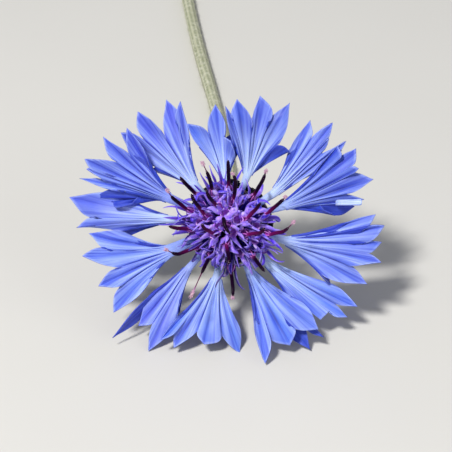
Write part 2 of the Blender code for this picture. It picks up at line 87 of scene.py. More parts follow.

# Each ray floret: its throat (angle, distance from the axis, height), half the throat's width,
# its tone (how white its throat, how violet it is and how much darker its body is painted), then
# its front and its back rim as (angle, distance, height). The front runs flank, tip, notch, tip
# ... flank, and the back runs tip, notch ... tip behind it.
RAY_FLORETS = (
    ((95.5, 5.6, 0.7), 0.45, (1.0, 0.35, 0),
     ((110.5, 10.3, 0.9), (113.0, 13.9, 1.6), (102.4, 11.4, 1.8), (96.7, 15.4, 1.9),
      (93.5, 10.9, 1.9), (89.1, 10.5, 3.0), (84.6, 8.4, 1.9)),
     ((88.0, 11.6, 0.6), (97.0, 9.6, 0.2), (108.0, 12.0, 0.2))),
    ((69.1, 6.5, 1.2), 0.5, (0.85, 0.3, 0.75),
     ((86.3, 10.1, 2.8), (91.5, 15.0, 3.4), (88.0, 13.4, 3.0), (86.3, 16.0, 3.5),
      (76.3, 12.6, 3.0), (76.4, 16.9, 3.6), (68.3, 13.9, 3.0), (63.2, 17.4, 3.4),
      (58.5, 11.7, 2.4)),
     ((49.6, 12.1, 1.4), (64.0, 10.2, 0.9), (76.0, 13.0, 0.8), (84.0, 11.6, 1.2),
      (89.6, 14.2, 1.8))),
    ((33.5, 6.9, 0.7), 0.55, (0.75, 0.6, 0.1),
     ((48.0, 11.3, 1.1), (51.8, 17.0, 1.3), (45.8, 15.1, 1.3), (44.0, 18.6, 1.7),
      (40.0, 16.0, 1.5), (40.0, 16.9, 1.6), (37.0, 14.8, 1.4), (34.9, 18.4, 2.4),
      (31.0, 12.4, 1.2)),
     ((32.6, 17.4, 0.6), (38.0, 12.6, 0.1), (45.0, 14.6, 0.1))),
    ((17.0, 7.2, 1.4), 0.5, (0.5, 0.25, 0.9),
     ((29.3, 12.6, 2.6), (35.5, 17.1, 2.9), (30.1, 15.9, 2.9), (30.5, 18.9, 3.3),
      (24.7, 16.7, 3.2), (22.7, 18.0, 3.4), (22.0, 16.8, 3.2), (16.9, 19.4, 3.5),
      (14.6, 14.8, 2.8), (9.8, 17.7, 2.4), (11.6, 13.8, 1.8)),
     ((7.4, 16.4, 1.4), (5.6, 13.2, 0.9), (8.0, 12.4, 0.7), (18.0, 12.6, 0.8),
      (27.0, 15.0, 1.4))),
    ((-17.2, 7.5, 0.8), 0.55, (0.65, 0.4, 0.2),
     ((-5.3, 13.6, 1.7), (3.4, 19.0, 2.0), (-4.3, 16.9, 1.8), (-1.0, 20.0, 2.1),
      (-9.1, 17.4, 1.9), (-7.2, 19.9, 2.1), (-13.5, 17.6, 2.0), (-14.4, 20.2, 2.3),
      (-20.0, 16.5, 2.0), (-23.8, 19.5, 2.2), (-29.3, 13.6, 1.8)),
     ((-31.5, 15.4, 0.7), (-24.0, 13.0, 0.4), (-16.0, 15.8, 0.4), (-11.0, 13.6, 0.4),
      (-6.0, 16.2, 0.6))),
    ((-46.0, 6.9, 0.2), 0.55, (0.8, 0.05, 0),
     ((-35.1, 12.8, -0.5), (-33.0, 19.9, -0.2), (-37.6, 17.0, 0.1), (-38.4, 19.7, 0.2),
      (-41.5, 17.2, 0.3), (-46.6, 17.3, 0.4), (-51.4, 11.7, 0.5)),
     ((-47.0, 14.8, -0.8), (-42.0, 12.6, -1.1), (-36.0, 15.6, -1.3))),
    ((-66.9, 6.6, 1.0), 0.55, (0.45, 0, 0.05),
     ((-73.0, 11.4, 2.4), (-75.6, 18.6, 3.1), (-69.9, 14.8, 3.0), (-63.5, 17.6, 3.3),
      (-59.5, 15.3, 3.1), (-49.9, 17.9, 3.3), (-50.5, 12.4, 2.3)),
     ((-50.2, 19.2, 1.3), (-53.6, 16.2, 1.0), (-57.2, 19.5, 0.6), (-61.5, 14.0, 0.8),
      (-70.0, 15.4, 1.2))),
    ((257.4, 7.0, 0.9), 0.55, (0.65, 0.05, 0),
     ((243.1, 13.0, 1.9), (239.6, 17.4, 2.3), (245.0, 14.6, 2.1), (246.1, 17.6, 2.0),
      (254.5, 14.2, 1.9), (258.5, 15.9, 2.1), (266.0, 14.2, 1.8), (274.7, 17.2, 1.6),
      (271.6, 11.8, 1.2)),
     ((268.0, 13.2, 0.5), (258.0, 11.6, 0.3), (245.6, 15.9, 0.9))),
    ((228.3, 7.7, 0.1), 0.5, (0.4, 0.7, 0),
     ((236.9, 12.1, 0.4), (237.8, 19.6, 0.7), (231.9, 15.7, 0.5), (228.6, 17.8, 0.6),
      (222.5, 12.9, 0.5)),
     ((224.5, 21.2, 0.3), (227.0, 15.4, -0.5), (234.0, 15.8, -0.8))),
    ((205.1, 8.4, 1.8), 0.85, (0.35, 0.3, 0),
     ((192.7, 11.8, 2.4), (184.2, 18.1, 2.9), (193.5, 15.7, 2.8), (192.6, 19.3, 3.0),
      (202.9, 15.0, 2.8), (205.8, 18.6, 3.0), (210.3, 15.5, 2.7), (217.8, 18.8, 2.7),
      (214.6, 11.8, 2.1)),
     ((212.0, 14.6, 0.8), (202.0, 12.2, 0.6), (192.0, 14.6, 1.0))),
    ((176.5, 7.6, 0.6), 0.5, (0.8, 0.7, 0.1),
     ((168.3, 12.2, 0.9), (170.9, 20.9, 1.2), (177.7, 16.8, 1.3), (181.9, 19.8, 1.2),
      (184.2, 14.0, 0.9)),
     ((188.5, 13.8, -0.3), (180.0, 12.4, -0.5), (174.0, 15.0, -0.4))),
    ((157.5, 8.2, 1.2), 0.62, (0.3, 0.6, 0.25),
     ((145.0, 12.6, 2.7), (137.2, 17.9, 3.0), (146.0, 15.4, 2.9), (145.5, 19.6, 3.1),
      (151.5, 16.3, 2.9), (156.1, 20.2, 3.2), (158.9, 18.0, 3.1), (159.1, 19.5, 3.2),
      (161.5, 16.9, 3.0), (163.3, 20.1, 3.1), (163.6, 14.6, 2.6)),
     ((169.8, 17.9, 1.8), (169.2, 15.2, 1.4), (168.4, 12.8, 1.0), (160.0, 12.4, 0.8),
      (148.0, 16.6, 1.2))),
    ((131.8, 6.5, 0.6), 0.55, (0.85, 0.75, 0.15),
     ((117.7, 11.0, 1.3), (112.0, 16.9, 1.7), (117.8, 14.4, 1.6), (116.9, 17.9, 1.7),
      (127.2, 13.6, 1.6), (129.3, 18.6, 1.6), (135.6, 15.3, 1.2), (140.2, 18.2, 0.9),
      (142.0, 12.0, 0.6)),
     ((147.0, 12.6, -0.4), (134.0, 11.4, -0.6), (121.0, 13.4, 0.0))),
)

# Each disc floret, ring by ring: the mouth of its corolla and the tip of its anthers, both
# as (angle, distance from the axis), the height of the mouth, how far its style is out, and
# which way tip and style bend.
DISC_FLORETS = (
    (((200.0, 0.4), (256.0, 1.3), 5.9, 0.0, 300),),
    (((12.0, 2.2), (30.0, 4.5), 5.0, 0.0, 70),
     ((78.0, 2.7), (81.0, 5.9), 5.0, 0.4, 130),
     ((124.0, 2.4), (128.0, 4.6), 5.2, 0.0, 95),
     ((163.0, 3.0), (146.0, 5.7), 4.9, 0.0, 105),
     ((216.0, 2.3), (190.0, 3.4), 5.2, 0.0, 100),
     ((262.0, 2.5), (271.0, 4.9), 4.9, 0.0, 250),
     ((-35.0, 2.5), (-15.0, 4.6), 5.0, 0.0, 80)),
    (((11.0, 4.5), (23.0, 7.4), 3.9, 0.5, 50),
     ((47.0, 4.3), (52.0, 7.4), 4.0, 0.6, 75),
     ((90.0, 4.3), (91.0, 7.7), 4.1, 0.0, 90),
     ((117.0, 4.4), (113.0, 6.8), 4.0, 1.3, 118),
     ((139.0, 5.2), (137.5, 8.2), 3.3, 0.0, 125),
     ((163.0, 5.2), (156.0, 8.0), 3.2, 1.2, 110),
     ((189.0, 4.9), (185.0, 7.2), 3.5, 0.0, 160),
     ((217.0, 5.0), (211.0, 8.2), 2.6, 1.0, 131),
     ((240.0, 4.6), (241.0, 6.8), 3.2, 2.8, 246),
     ((272.0, 5.6), (273.6, 8.9), 2.6, 0.4, 268),
     ((-54.0, 4.9), (-54.0, 7.2), 3.4, 0.0, 310),
     ((-17.0, 5.0), (-8.0, 7.4), 3.6, 1.0, 55)),
)

PLAIN_BOW = (0.0, 0.0, 0.25)  # how far an anther column bows on its way up
MIDDLE_BOW = (-0.35, 1.2, 1.3)  # the same for the middle one, which bends aside

# Points of a ray floret's rim from a notch to the next tip, and rows from throat to rim.
RIM_STEPS = 11
FAN_ROWS = 44
# Distances from the axis past which a ray floret's tube runs straight outwards and is pale.
STRAIGHT_FROM = 4.4
PALE_FROM = 5.6
# Cells of the noise that draws the veins: in one column, and from throat to rim.
VEIN_CELLS = (0.55, 0.96)

# One lobe's end is folded over: its floret, then the fold, the tip and the half width.
FOLDED_FLORET = 4
FOLDED_TIP = ((10.9, 14.0, 2.6), (8.9, 17.3, 3.0), 0.43)

# The bracts' rows, innermost first.
BRACT_TOPS = (-1.9, -3.6, -5.6, -7.7, -9.7)
BRACT_FEET = (-10.75, -11.35, -11.95, -12.55, -14.5)
BRACT_BASE_TOP = -12.3  # below this the outermost bracts close in on the stem
BRACTS_IN_ROW = 8
BRACT_PITCH = 0.42
BRACT_INNER_GAP = 0.12
BRACT_THICKNESS = 0.2
# The hollow inside them, as heights and radii.
CAVITY_HEIGHTS = (-13.4, -12.6, -11.4, -10.2, -8.0, -5.5, -3.5, -1.5)
CAVITY_RADII = (1.35, 1.9, 3.0, 3.6, 3.75, 3.62, 3.5, 3.55)

# The stem's route along the table, as (behind, aside).
STEM_RADIUS = 0.95
STEM_LYING_END = 92.0
STEM_DRIFT = ((32.0, 0.0), (44.0, -1.2), (55.0, -2.8), (66.0, -4.5), (78.0, -6.1))
WOOL_LENGTHS = (0.25, 0.9)
WOOL_RADIUS = 0.016


# ---------------------------------------------------------------- geometry helpers


def linear(hex_colour):
    """An sRGB colour written as six hex digits, as linear RGBA."""
    shares = [int(hex_colour[i:i + 2], 16) / 255 for i in (0, 2, 4)]
    return tuple(c / 12.92 if c <= 0.04045 else ((c + 0.055) / 1.055) ** 2.4
                 for c in shares) + (1.0,)


def unit(vectors):
    """The vectors, each divided by its length."""
    return vectors / np.linalg.norm(vectors, axis=-1, keepdims=True)


def ramp(value, start, end):
    """How far a value has come from start to end, as a share that stays within 0 and 1."""
    return np.clip((value - start) / (end - start), 0, 1)


def bell(value, middle, width):
    """1 where a value is the middle one, falling off on both sides as a Gauss curve."""
    return np.exp(-((value - middle) / width)**2)


def polar(angle, distance, height):
    """Points from angles in degrees, distances from the head's axis and heights along it."""
    angle, distance, height = np.broadcast_arrays(np.radians(angle), distance, height)
    return np.stack([distance * np.cos(angle), distance * np.sin(angle), height], axis=-1)


def cad_points(node):
    """The corners of a CAD node's mesh, in millimetres."""
    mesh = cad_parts[node].data
    points = np.empty(len(mesh.vertices) * 3, np.float32)
    mesh.vertices.foreach_get("co", points)
    return points.reshape(-1, 3).astype(float) / MM


def head_frame():
    """The head's centre, and its x, y and z directions as the rows of a matrix.

    The innermost and outermost bracts are rings round the head's axis, so the line through
    their middles is that axis, and the innermost ones' feet give the place along it."""
    inner, outer = cad_points("bract_row_1"), cad_points("bract_row_5")
    axis = unit(inner.mean(axis=0) - outer.mean(axis=0))
    feet = (inner @ axis).min()
    centre = inner.mean(axis=0) + axis * (feet - BRACT_FEET[0] - inner.mean(axis=0) @ axis)
    side = unit(np.array([1.0, 0.0, 0.0]) - axis * axis[0])
    return centre, np.array([side, np.cross(axis, side), axis])


HEAD_CENTRE, HEAD_AXES = head_frame()


def above_table(points):
    """Points in millimetres whose height is below the gap over the table are eased into that
    gap, by an exponential curve that never quite reaches the table."""
    height = points[:, 2:]
    eased = TABLE_GAP * np.exp(np.minimum(height / TABLE_GAP - 1, 0))
    return np.hstack([points[:, :2], np.where(height < TABLE_GAP, eased, height)])


def from_head(points):
    """Points of the head's frame, in millimetres, as points of the row frame, in metres."""
    return above_table(HEAD_CENTRE + points @ HEAD_AXES) * MM


def smooth_path(points, steps):
    """A Catmull-Rom curve through the points, with this many steps between neighbours."""
    points = np.array(points, float)
    padded = np.vstack([2 * points[0] - points[1], points, 2 * points[-1] - points[-2]])
    t = np.linspace(0, 1, steps, endpoint=False)[:, None]
    a, b, c, d = (padded[i:len(padded) - 3 + i, None] for i in range(4))
    curve = 0.5 * (2 * b + (c - a) * t + (2 * a - 5 * b + 4 * c - d) * t**2
                   + (3 * b - a - 3 * c + d) * t**3)
    return np.vstack([curve.reshape(-1, 3), points[-1:]])


def travelled(path):
    """How far along the path each of its points is."""
    return np.concatenate([[0], np.cumsum(np.linalg.norm(np.diff(path, axis=0), axis=1))])


def along(path, distances):
    """Points of the path at these distances from its start."""
    at = travelled(path)
    return np.stack([np.interp(distances, at, path[:, i]) for i in range(3)], axis=-1)


def turning_frames(path, side=(1.0, 0.0, 0.0)):
    """Two directions across the path at each of its points: the given side turned as little
    as the path allows, and the one at right angles to it."""
    tangents = unit(np.gradient(path, axis=0))
    across = np.empty_like(path)
    for i, tangent in enumerate(tangents):
        side = unit(side - tangent * np.dot(side, tangent))
        across[i] = side
    return across, np.cross(tangents, across)


def rings(path, radii, sides, ridges=0, ridge_share=0.0, twist=0.0):
    """Circles round the path, as a grid of one row a circle. The radius is the given one
    times 1 + ridge_share * cos(ridges * angle + twist * row)."""
    across, other = turning_frames(path)
    turn = np.linspace(0, 2 * pi, sides, endpoint=False)[None, :, None]
    row = np.arange(len(path))[:, None, None]
    wide = np.asarray(radii)[:, None, None] \
        * (1 + ridge_share * np.cos(ridges * turn + twist * row))
    return path[:, None] + wide * (np.cos(turn) * across[:, None] + np.sin(turn) * other[:, None])


def fan_out(turn, first, second):
    """A direction for each angle of turn, measured from the first direction to the second."""
    return np.cos(turn)[:, None] * first + np.sin(turn)[:, None] * second


def grid_quads(numbers, closed):
    """The quads between neighbours in a grid of vertex numbers. A closed grid's last column
    meets its first, and reversed rows turn the quads over."""
    if closed:
        numbers = np.concatenate([numbers, numbers[..., :1]], axis=-1)
    return np.stack([numbers[..., :-1, :-1], numbers[..., :-1, 1:], numbers[..., 1:, 1:],
                     numbers[..., 1:, :-1]], axis=-1).reshape(-1, 4)


class Surface:
    """Points, faces and per-point values of a mesh that grows piece by piece."""

    def __init__(self):
        self.points, self.quads, self.triangles, self.values, self.count = [], [], [], [], 0

    def add(self, points, **values):
        """Adds points and returns the grid of their numbers. Each value is one a point."""
        shape = points.shape[:-1]
        numbers = self.count + np.arange(np.prod(shape)).reshape(shape)
        self.count += numbers.size
        self.points.append(points.reshape(-1, 3))
        self.values.append({name: np.broadcast_to(value, shape).ravel()
                            for name, value in values.items()})
        return numbers

    def pole(self, ring, **values):
        """Closes a ring of vertex numbers with triangles to its middle."""
        middle = np.vstack(self.points)[ring].mean(axis=0)
        centre = np.full(len(ring), self.add(middle[None], **values))
        self.triangles.append(np.stack([ring, np.roll(ring, -1), centre], axis=-1))

    def rod(self, grid, **values):
        """A closed tube: the grid's rows are its rings, and both ends get a pole."""
        numbers = self.add(grid, **values)
        self.quads.append(grid_quads(numbers, True))
        ends = {name: np.broadcast_to(value, numbers.shape) for name, value in values.items()}
        for row, ring in ((0, numbers[0, ::-1]), (-1, numbers[-1])):
            self.pole(ring, **{name: value[row, :1] for name, value in ends.items()})

    def sheets(self, front, back, behind=None, **values):
        """Many thin closed sheets at once: arrays of grids (sheet, row, column) for the front
        and the back, joined round their edges. The back may have some values of its own."""
        before, after = self.add(front, **values), self.add(back, **{**values, **(behind or {})})
        self.quads += [grid_quads(before, False), grid_quads(after[:, ::-1], False)]
        edges = [np.concatenate([n[:, 0], n[:, 1:, -1], n[:, -1, -2::-1], n[:, -2:0:-1, 0]],
                                axis=1) for n in (after, before)]
        self.quads.append(grid_quads(np.stack(edges, axis=1), True))

    def build(self, name, made_of, place=from_head):
        """The mesh object, with its points put through place and one attribute a value."""
        points = place(np.vstack(self.points))
        quads = np.vstack(self.quads)
        triangles = np.vstack([np.empty((0, 3), int), *self.triangles])
        corners = np.concatenate([quads.ravel(), triangles.ravel()]).astype(np.int32)
        sizes = np.concatenate([np.full(len(quads), 4), np.full(len(triangles), 3)])
        mesh = bpy.data.meshes.new(name)
        mesh.vertices.add(len(points))
        mesh.vertices.foreach_set("co", points.astype(np.float32).ravel())
        mesh.loops.add(len(corners))
        mesh.loops.foreach_set("vertex_index", corners)
        mesh.polygons.add(len(sizes))
        mesh.polygons.foreach_set("loop_start", (np.cumsum(sizes) - sizes).astype(np.int32))
        for key in self.values[0]:
            data = np.concatenate([values[key] for values in self.values]).astype(np.float32)
            mesh.attributes.new(key, "FLOAT", "POINT").data.foreach_set("value", data)
        mesh.update(calc_edges=True)
        mesh.shade_smooth()
        mesh.materials.append(made_of)
        made = bpy.data.objects.new(name, mesh)
        bpy.context.scene.collection.objects.link(made)
        return made


def finish_piece(piece, slot, *nodes):
    """A piece rides with the flower and stands for its CAD nodes, which are hidden. The slot is not used.
    """
    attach(piece, "root")
    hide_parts(*nodes)


def even_ring(directions, way=1):
    """Evenly spaced seats round a ring, turned to suit the directions that its florets take,
    which run anticlockwise, or clockwise with way -1. Each is within half a turn of its own."""
    directions = np.array(directions)
    seats = way * np.arange(len(directions)) * 360 / len(directions)
    shift = np.degrees(np.angle(np.exp(1j * np.radians(directions - seats)).sum()))
    return directions + (seats + shift - directions + 180) % 360 - 180


# ---------------------------------------------------------------- settings and materials


def colour(name, description, hex_colour):
    """A colour that the user can change."""
    return bpy.props.FloatVectorProperty(name=name, description=description, subtype="COLOR",
                                         size=4, default=linear(hex_colour), min=0, max=1)


def length(name, description, millimetres, least=0.0):
    """A length that the user can change."""
    return bpy.props.FloatProperty(name=name, description=description,
                                   default=millimetres * MM, min=least * MM, unit="LENGTH")


def new_material(name):
    """A material with its Principled shader."""
    made = bpy.data.materials.new(name)
    made.use_nodes = True
    return made, made.node_tree, made.node_tree.nodes["Principled BSDF"]


def fill(tree, node, inputs):
    """Gives a node its inputs. A socket is linked, text stands for the value that the mesh
    carries under that name, and anything else is set on the input itself."""
    for name, value in inputs.items():
        if isinstance(value, str):
            value = add_node(tree, "Attribute", {}, "Fac", attribute_name=value)
        if isinstance(value, bpy.types.NodeSocket):
            tree.links.new(value, node.inputs[name])
        else:
            node.inputs[name].default_value = value


def add_node(tree, kind, inputs, output=0, **settings):
    """Adds a node, sets its properties, gives it its inputs and returns one of its outputs.

    A Mix of colours has its share at input 0 and its colours at 6 and 7. A MapRange has its
    value at 0, the range that it comes from at 1 and 2, and the one it goes to at 3 and 4."""
    node = tree.nodes.new("ShaderNode" + kind)
    for key, value in settings.items():
        setattr(node, key, value)
    fill(tree, node, inputs)
    return node.outputs[output]


def layered(tree, body, *layers):
    """Colours laid over a body colour in turn, each by its share."""
    for share, over in layers:
        body = add_node(tree, "Mix", {0: share, 6: body, 7: over}, 2, data_type="RGBA")
    return body


def petal_skin(settings):
    """Living petal: thin, satiny tissue coloured by blue sap. The eye sees fine lengthwise
    veins and a nearly white throat. Where it is pleated, the ridges are painted pale as painted
    highlight and the creases dark as painted shade; painted highlight runs along the lobes'
    edges, and painted shade gives its inside and its back lobes a deeper blue."""
    made, tree, shader = new_material("petal_blue_sap_tissue")
    # Veins a quarter of a millimetre apart. They spread with the lobe, so the noise is drawn
    # out along its rows and columns.
    grain = add_node(tree, "CombineXYZ", {"X": "column", "Y": "row"})
    veins = add_node(tree, "TexNoise", {"Vector": grain, "Scale": 1.0, "Detail": 2.0,
                                        "Roughness": 0.6})
    # Painted light is laid over the body colour: painted highlight on the ridges and the edges, painted
    # shade in the creases, on the inside and on the back lobes.
    body = layered(tree, settings.mid, ("violet", settings.violet), ("deep", settings.deep),
                   ("ridge", settings.light), ("crease", settings.dark),
                   ("edge", settings.edge), ("pale", settings.throat), ("tube", settings.tube),
                   ("under", settings.under))
    streaks = add_node(tree, "MapRange", {0: veins, 1: 0.36, 2: 0.56})
    streaks = layered(tree, linear("B4BAEA"), (streaks, linear("FFFFFF")))
    fill(tree, shader, {
        "Base Color": add_node(tree, "Mix", {0: 1.0, 6: body, 7: streaks}, 2,
                               data_type="RGBA", blend_type="MULTIPLY"),
        "Normal": add_node(tree, "Bump", {"Height": veins, "Distance": 0.05 * MM,
                                          "Strength": 0.6}),
        "Roughness": 0.5, "Specular IOR Level": 0.35, "Sheen Weight": 0.15,
        "Subsurface Weight": 0.15, "Subsurface Radius": (0.3, 0.5, 1.0),
        "Subsurface Scale": 0.4 * MM})
    return made


def disc_skin(settings):
    """Disc corolla: waxy violet tissue with violet-blue straps. Painted on it are pale lilac
    highlights along the straps' edges, small sharp painted glints, painted shade on the florets at
    the disc's rim, most on its lower side, and dark cups as painted shade deep among the straps.
    The middle of the head is pink, partly its own hue and partly painted light coming through the
    cups."""
    made, tree, shader = new_material("disc_corolla_violet_sap_tissue")
    # The tissue's cells are 0.04 mm. Its mottling is drawn coarser, 1.3 patches a millimetre.
    mottle = add_node(tree, "TexNoise", {"Vector": add_node(tree, "TexCoord", {}, "Object"),
                                         "Scale": 1.3 / MM, "Detail": 2.0})
    # The cups' dark colour is partly their own violet and partly painted shade deep among the straps; the
    # straps take it towards their feet.
    cup = layered(tree, settings.base, ("pink", settings.blush))
    strap = layered(tree, settings.blue, ("tone", settings.strap), ("pink", settings.lilac))
    # The rim shade value lays painted shade over the florets at the disc's rim.
    body = layered(tree, cup, (add_node(tree, "MapRange", {0: "along", 1: 0.2, 2: 0.65}), strap),
                   ("dim", settings.shade))
    patches = add_node(tree, "MapRange", {0: mottle, 1: 0.4, 2: 0.6})
    # Painted highlights: small pale spots where the mottling noise is high, stronger where the florets are
    # pink.
    glints = add_node(tree, "MapRange", {0: mottle, 1: 0.52, 2: 0.64, 4: 0.75})
    glints = add_node(tree, "Math", {0: glints, 1: "pink"}, operation="MULTIPLY")
    # Painted highlight: pale straps' edges and small pale glints are laid over the mottled body.
    body = layered(tree, body, (patches, layered(tree, body, (0.1, settings.shade))),
                   ("edge", settings.edge), (glints, settings.painted_glint))
    fill(tree, shader, {
        "Base Color": body, "Roughness": 0.3, "Specular IOR Level": 0.3,
        "Subsurface Weight": 0.15, "Subsurface Radius": (0.8, 0.5, 1.0),
        "Subsurface Scale": 0.5 * MM})
    return made


def anther_skin(settings):
    """Anther column: five anthers joined in a tube, nearly black maroon with a dull gloss,
    ridged lengthwise, and magenta where the filaments show below. Style and pollen are pale
    and powdery."""
    made, tree, shader = new_material("anther_maroon_cuticle")
    lower = add_node(tree, "MapRange", {0: "along", 2: 0.5})
    upper = add_node(tree, "MapRange", {0: "along", 1: 0.5})
    body = layered(tree, settings.filament, (lower, settings.maroon), (upper, settings.anther),
                   ("stigma", layered(tree, settings.style, ("dust", settings.stigma))))
    fill(tree, shader, {
        "Base Color": body, "Specular IOR Level": 0.06,
        "Roughness": add_node(tree, "MapRange", {0: "stigma", 3: 0.42, 4: 0.8})})
    return made


def bract_skin(settings):
    """Bract: a leathery green scale with fine nerves, a dark brown fringed margin and a
    papery pale foot."""
    made, tree, shader = new_material("bract_green_leathery_scale")
    # Patches of lighter green 1.4 mm apart.
    spots = add_node(tree, "TexNoise", {"Vector": add_node(tree, "TexCoord", {}, "Object"),
                                        "Scale": 0.7 / MM, "Detail": 3.0})
    # Nerves 0.3 mm apart, drawn out along the bract.
    grain = add_node(tree, "CombineXYZ", {"X": "nerve", "Y": "rise"})
    nerves = add_node(tree, "TexNoise", {"Vector": grain, "Scale": 1.0, "Detail": 2.0})
    # The inside value lays painted shade on the inner faces and a violet tinge on the inner bracts' tips.
    body = layered(
        tree, settings.shade, (spots, settings.green),
        (add_node(tree, "MapRange", {0: nerves, 1: 0.55, 2: 0.4, 4: 0.4}), settings.shade),
        ("foot", settings.foot), ("margin", settings.margin), ("tooth", settings.tooth),
        ("inside", settings.inside))
    fill(tree, shader, {
        "Base Color": body, "Roughness": 0.6,
        "Normal": add_node(tree, "Bump", {"Height": nerves, "Distance": 0.08 * MM,
                                          "Strength": 0.6})})
    return made


def stem_skin(settings):
    """Stem: ridged green rind under a grey bloom of flattened wool, with pale pith at the
    cut."""
    made, tree, shader = new_material("stem_ridged_green_rind")
    # Flattened wool is 0.02 mm thick. It is drawn as tufts, 1.4 to a millimetre.
    felt = add_node(tree, "TexNoise", {"Vector": add_node(tree, "TexCoord", {}, "Object"),
                                       "Scale": 1.4 / MM, "Detail": 4.0, "Roughness": 0.7})
    bloom = add_node(tree, "MapRange", {0: felt, 1: 0.45, 2: 0.7, 4: 0.7})
    fill(tree, shader, {
        # Painted shade: the grooves between the ribs are painted darker than the ribs.
        "Base Color": layered(tree, settings.groove_shade, ("rib", settings.rind),
                              (bloom, settings.wool), ("cut", settings.pith)),
        "Normal": add_node(tree, "Bump", {"Height": felt, "Distance": 0.08 * MM}),
        "Roughness": 0.75})
    return made


def table_skin(settings):
    """Table: pale matt lacquered board, with only a faint unevenness in the lacquer."""
    made, tree, shader = new_material("table_matt_lacquer")
    # Unevenness about 33 mm wide.
    patches = add_node(tree, "TexNoise", {"Vector": add_node(tree, "TexCoord", {}, "Object"),
                                          "Scale": 0.03 / MM})
    darker = (*(0.96 * c for c in settings.table[:3]), 1.0)
    fill(tree, shader, {
        "Base Color": layered(tree, darker, (patches, settings.table)),
        "Roughness": 0.85, "Specular IOR Level": 0.2})
    return made


# ---------------------------------------------------------------- ray florets


def rim_loop(corners, rng):
    """The closed rim of a trumpet and how far along its lobe each point is.

    The corners alternate notch and tip. From a notch to its tip, a margin's distance from the
    lobe's axis at share s of the way is that of the notch times (1 + swell sin(pi s)), times
    (1 - s to the power roundness), times (1 - 0.3 s to the fourth), so that a lobe swells, then
    runs out into a fine point. The whole lobe bows sideways by sway sin(pi s) of its length.
    The second result runs from -1 at a notch through 0 at the tip to 1 at the next notch."""
    notches, tips = corners[0::2], corners[1::2]
    following = np.roll(notches, -1, axis=0)
    axis = unit(tips - (notches + following) / 2)
    s = np.linspace(0, 1, RIM_STEPS, endpoint=False)[None, :]
    roundness = rng.uniform(1.6, 3.2, (len(tips), 1))
    swell = rng.uniform(0.1, 0.4, (len(tips), 1))
    sway = rng.uniform(-0.09, 0.09, (len(tips), 1)) * unit(np.cross(axis, UP))

    def margin(notch, s):
        reach = ((tips - notch) * axis).sum(axis=1, keepdims=True) * axis
        aside = notch + reach - tips
        wide = (1 + swell * np.sin(pi * s)) * (1 - s**roundness) * (1 - 0.3 * s**4)
        bow = np.linalg.norm(reach, axis=1)[:, None] * np.sin(pi * s)
        return tips[:, None] + reach[:, None] * (s - 1)[..., None] \
            + aside[:, None] * wide[..., None] + sway[:, None] * bow[..., None]

    rim = np.concatenate([margin(notches, s), margin(following, 1 - s)], axis=1)
    place = np.concatenate([s[0] - 1, s[0]])
    return rim.reshape(-1, 3), np.tile(place, len(notches))


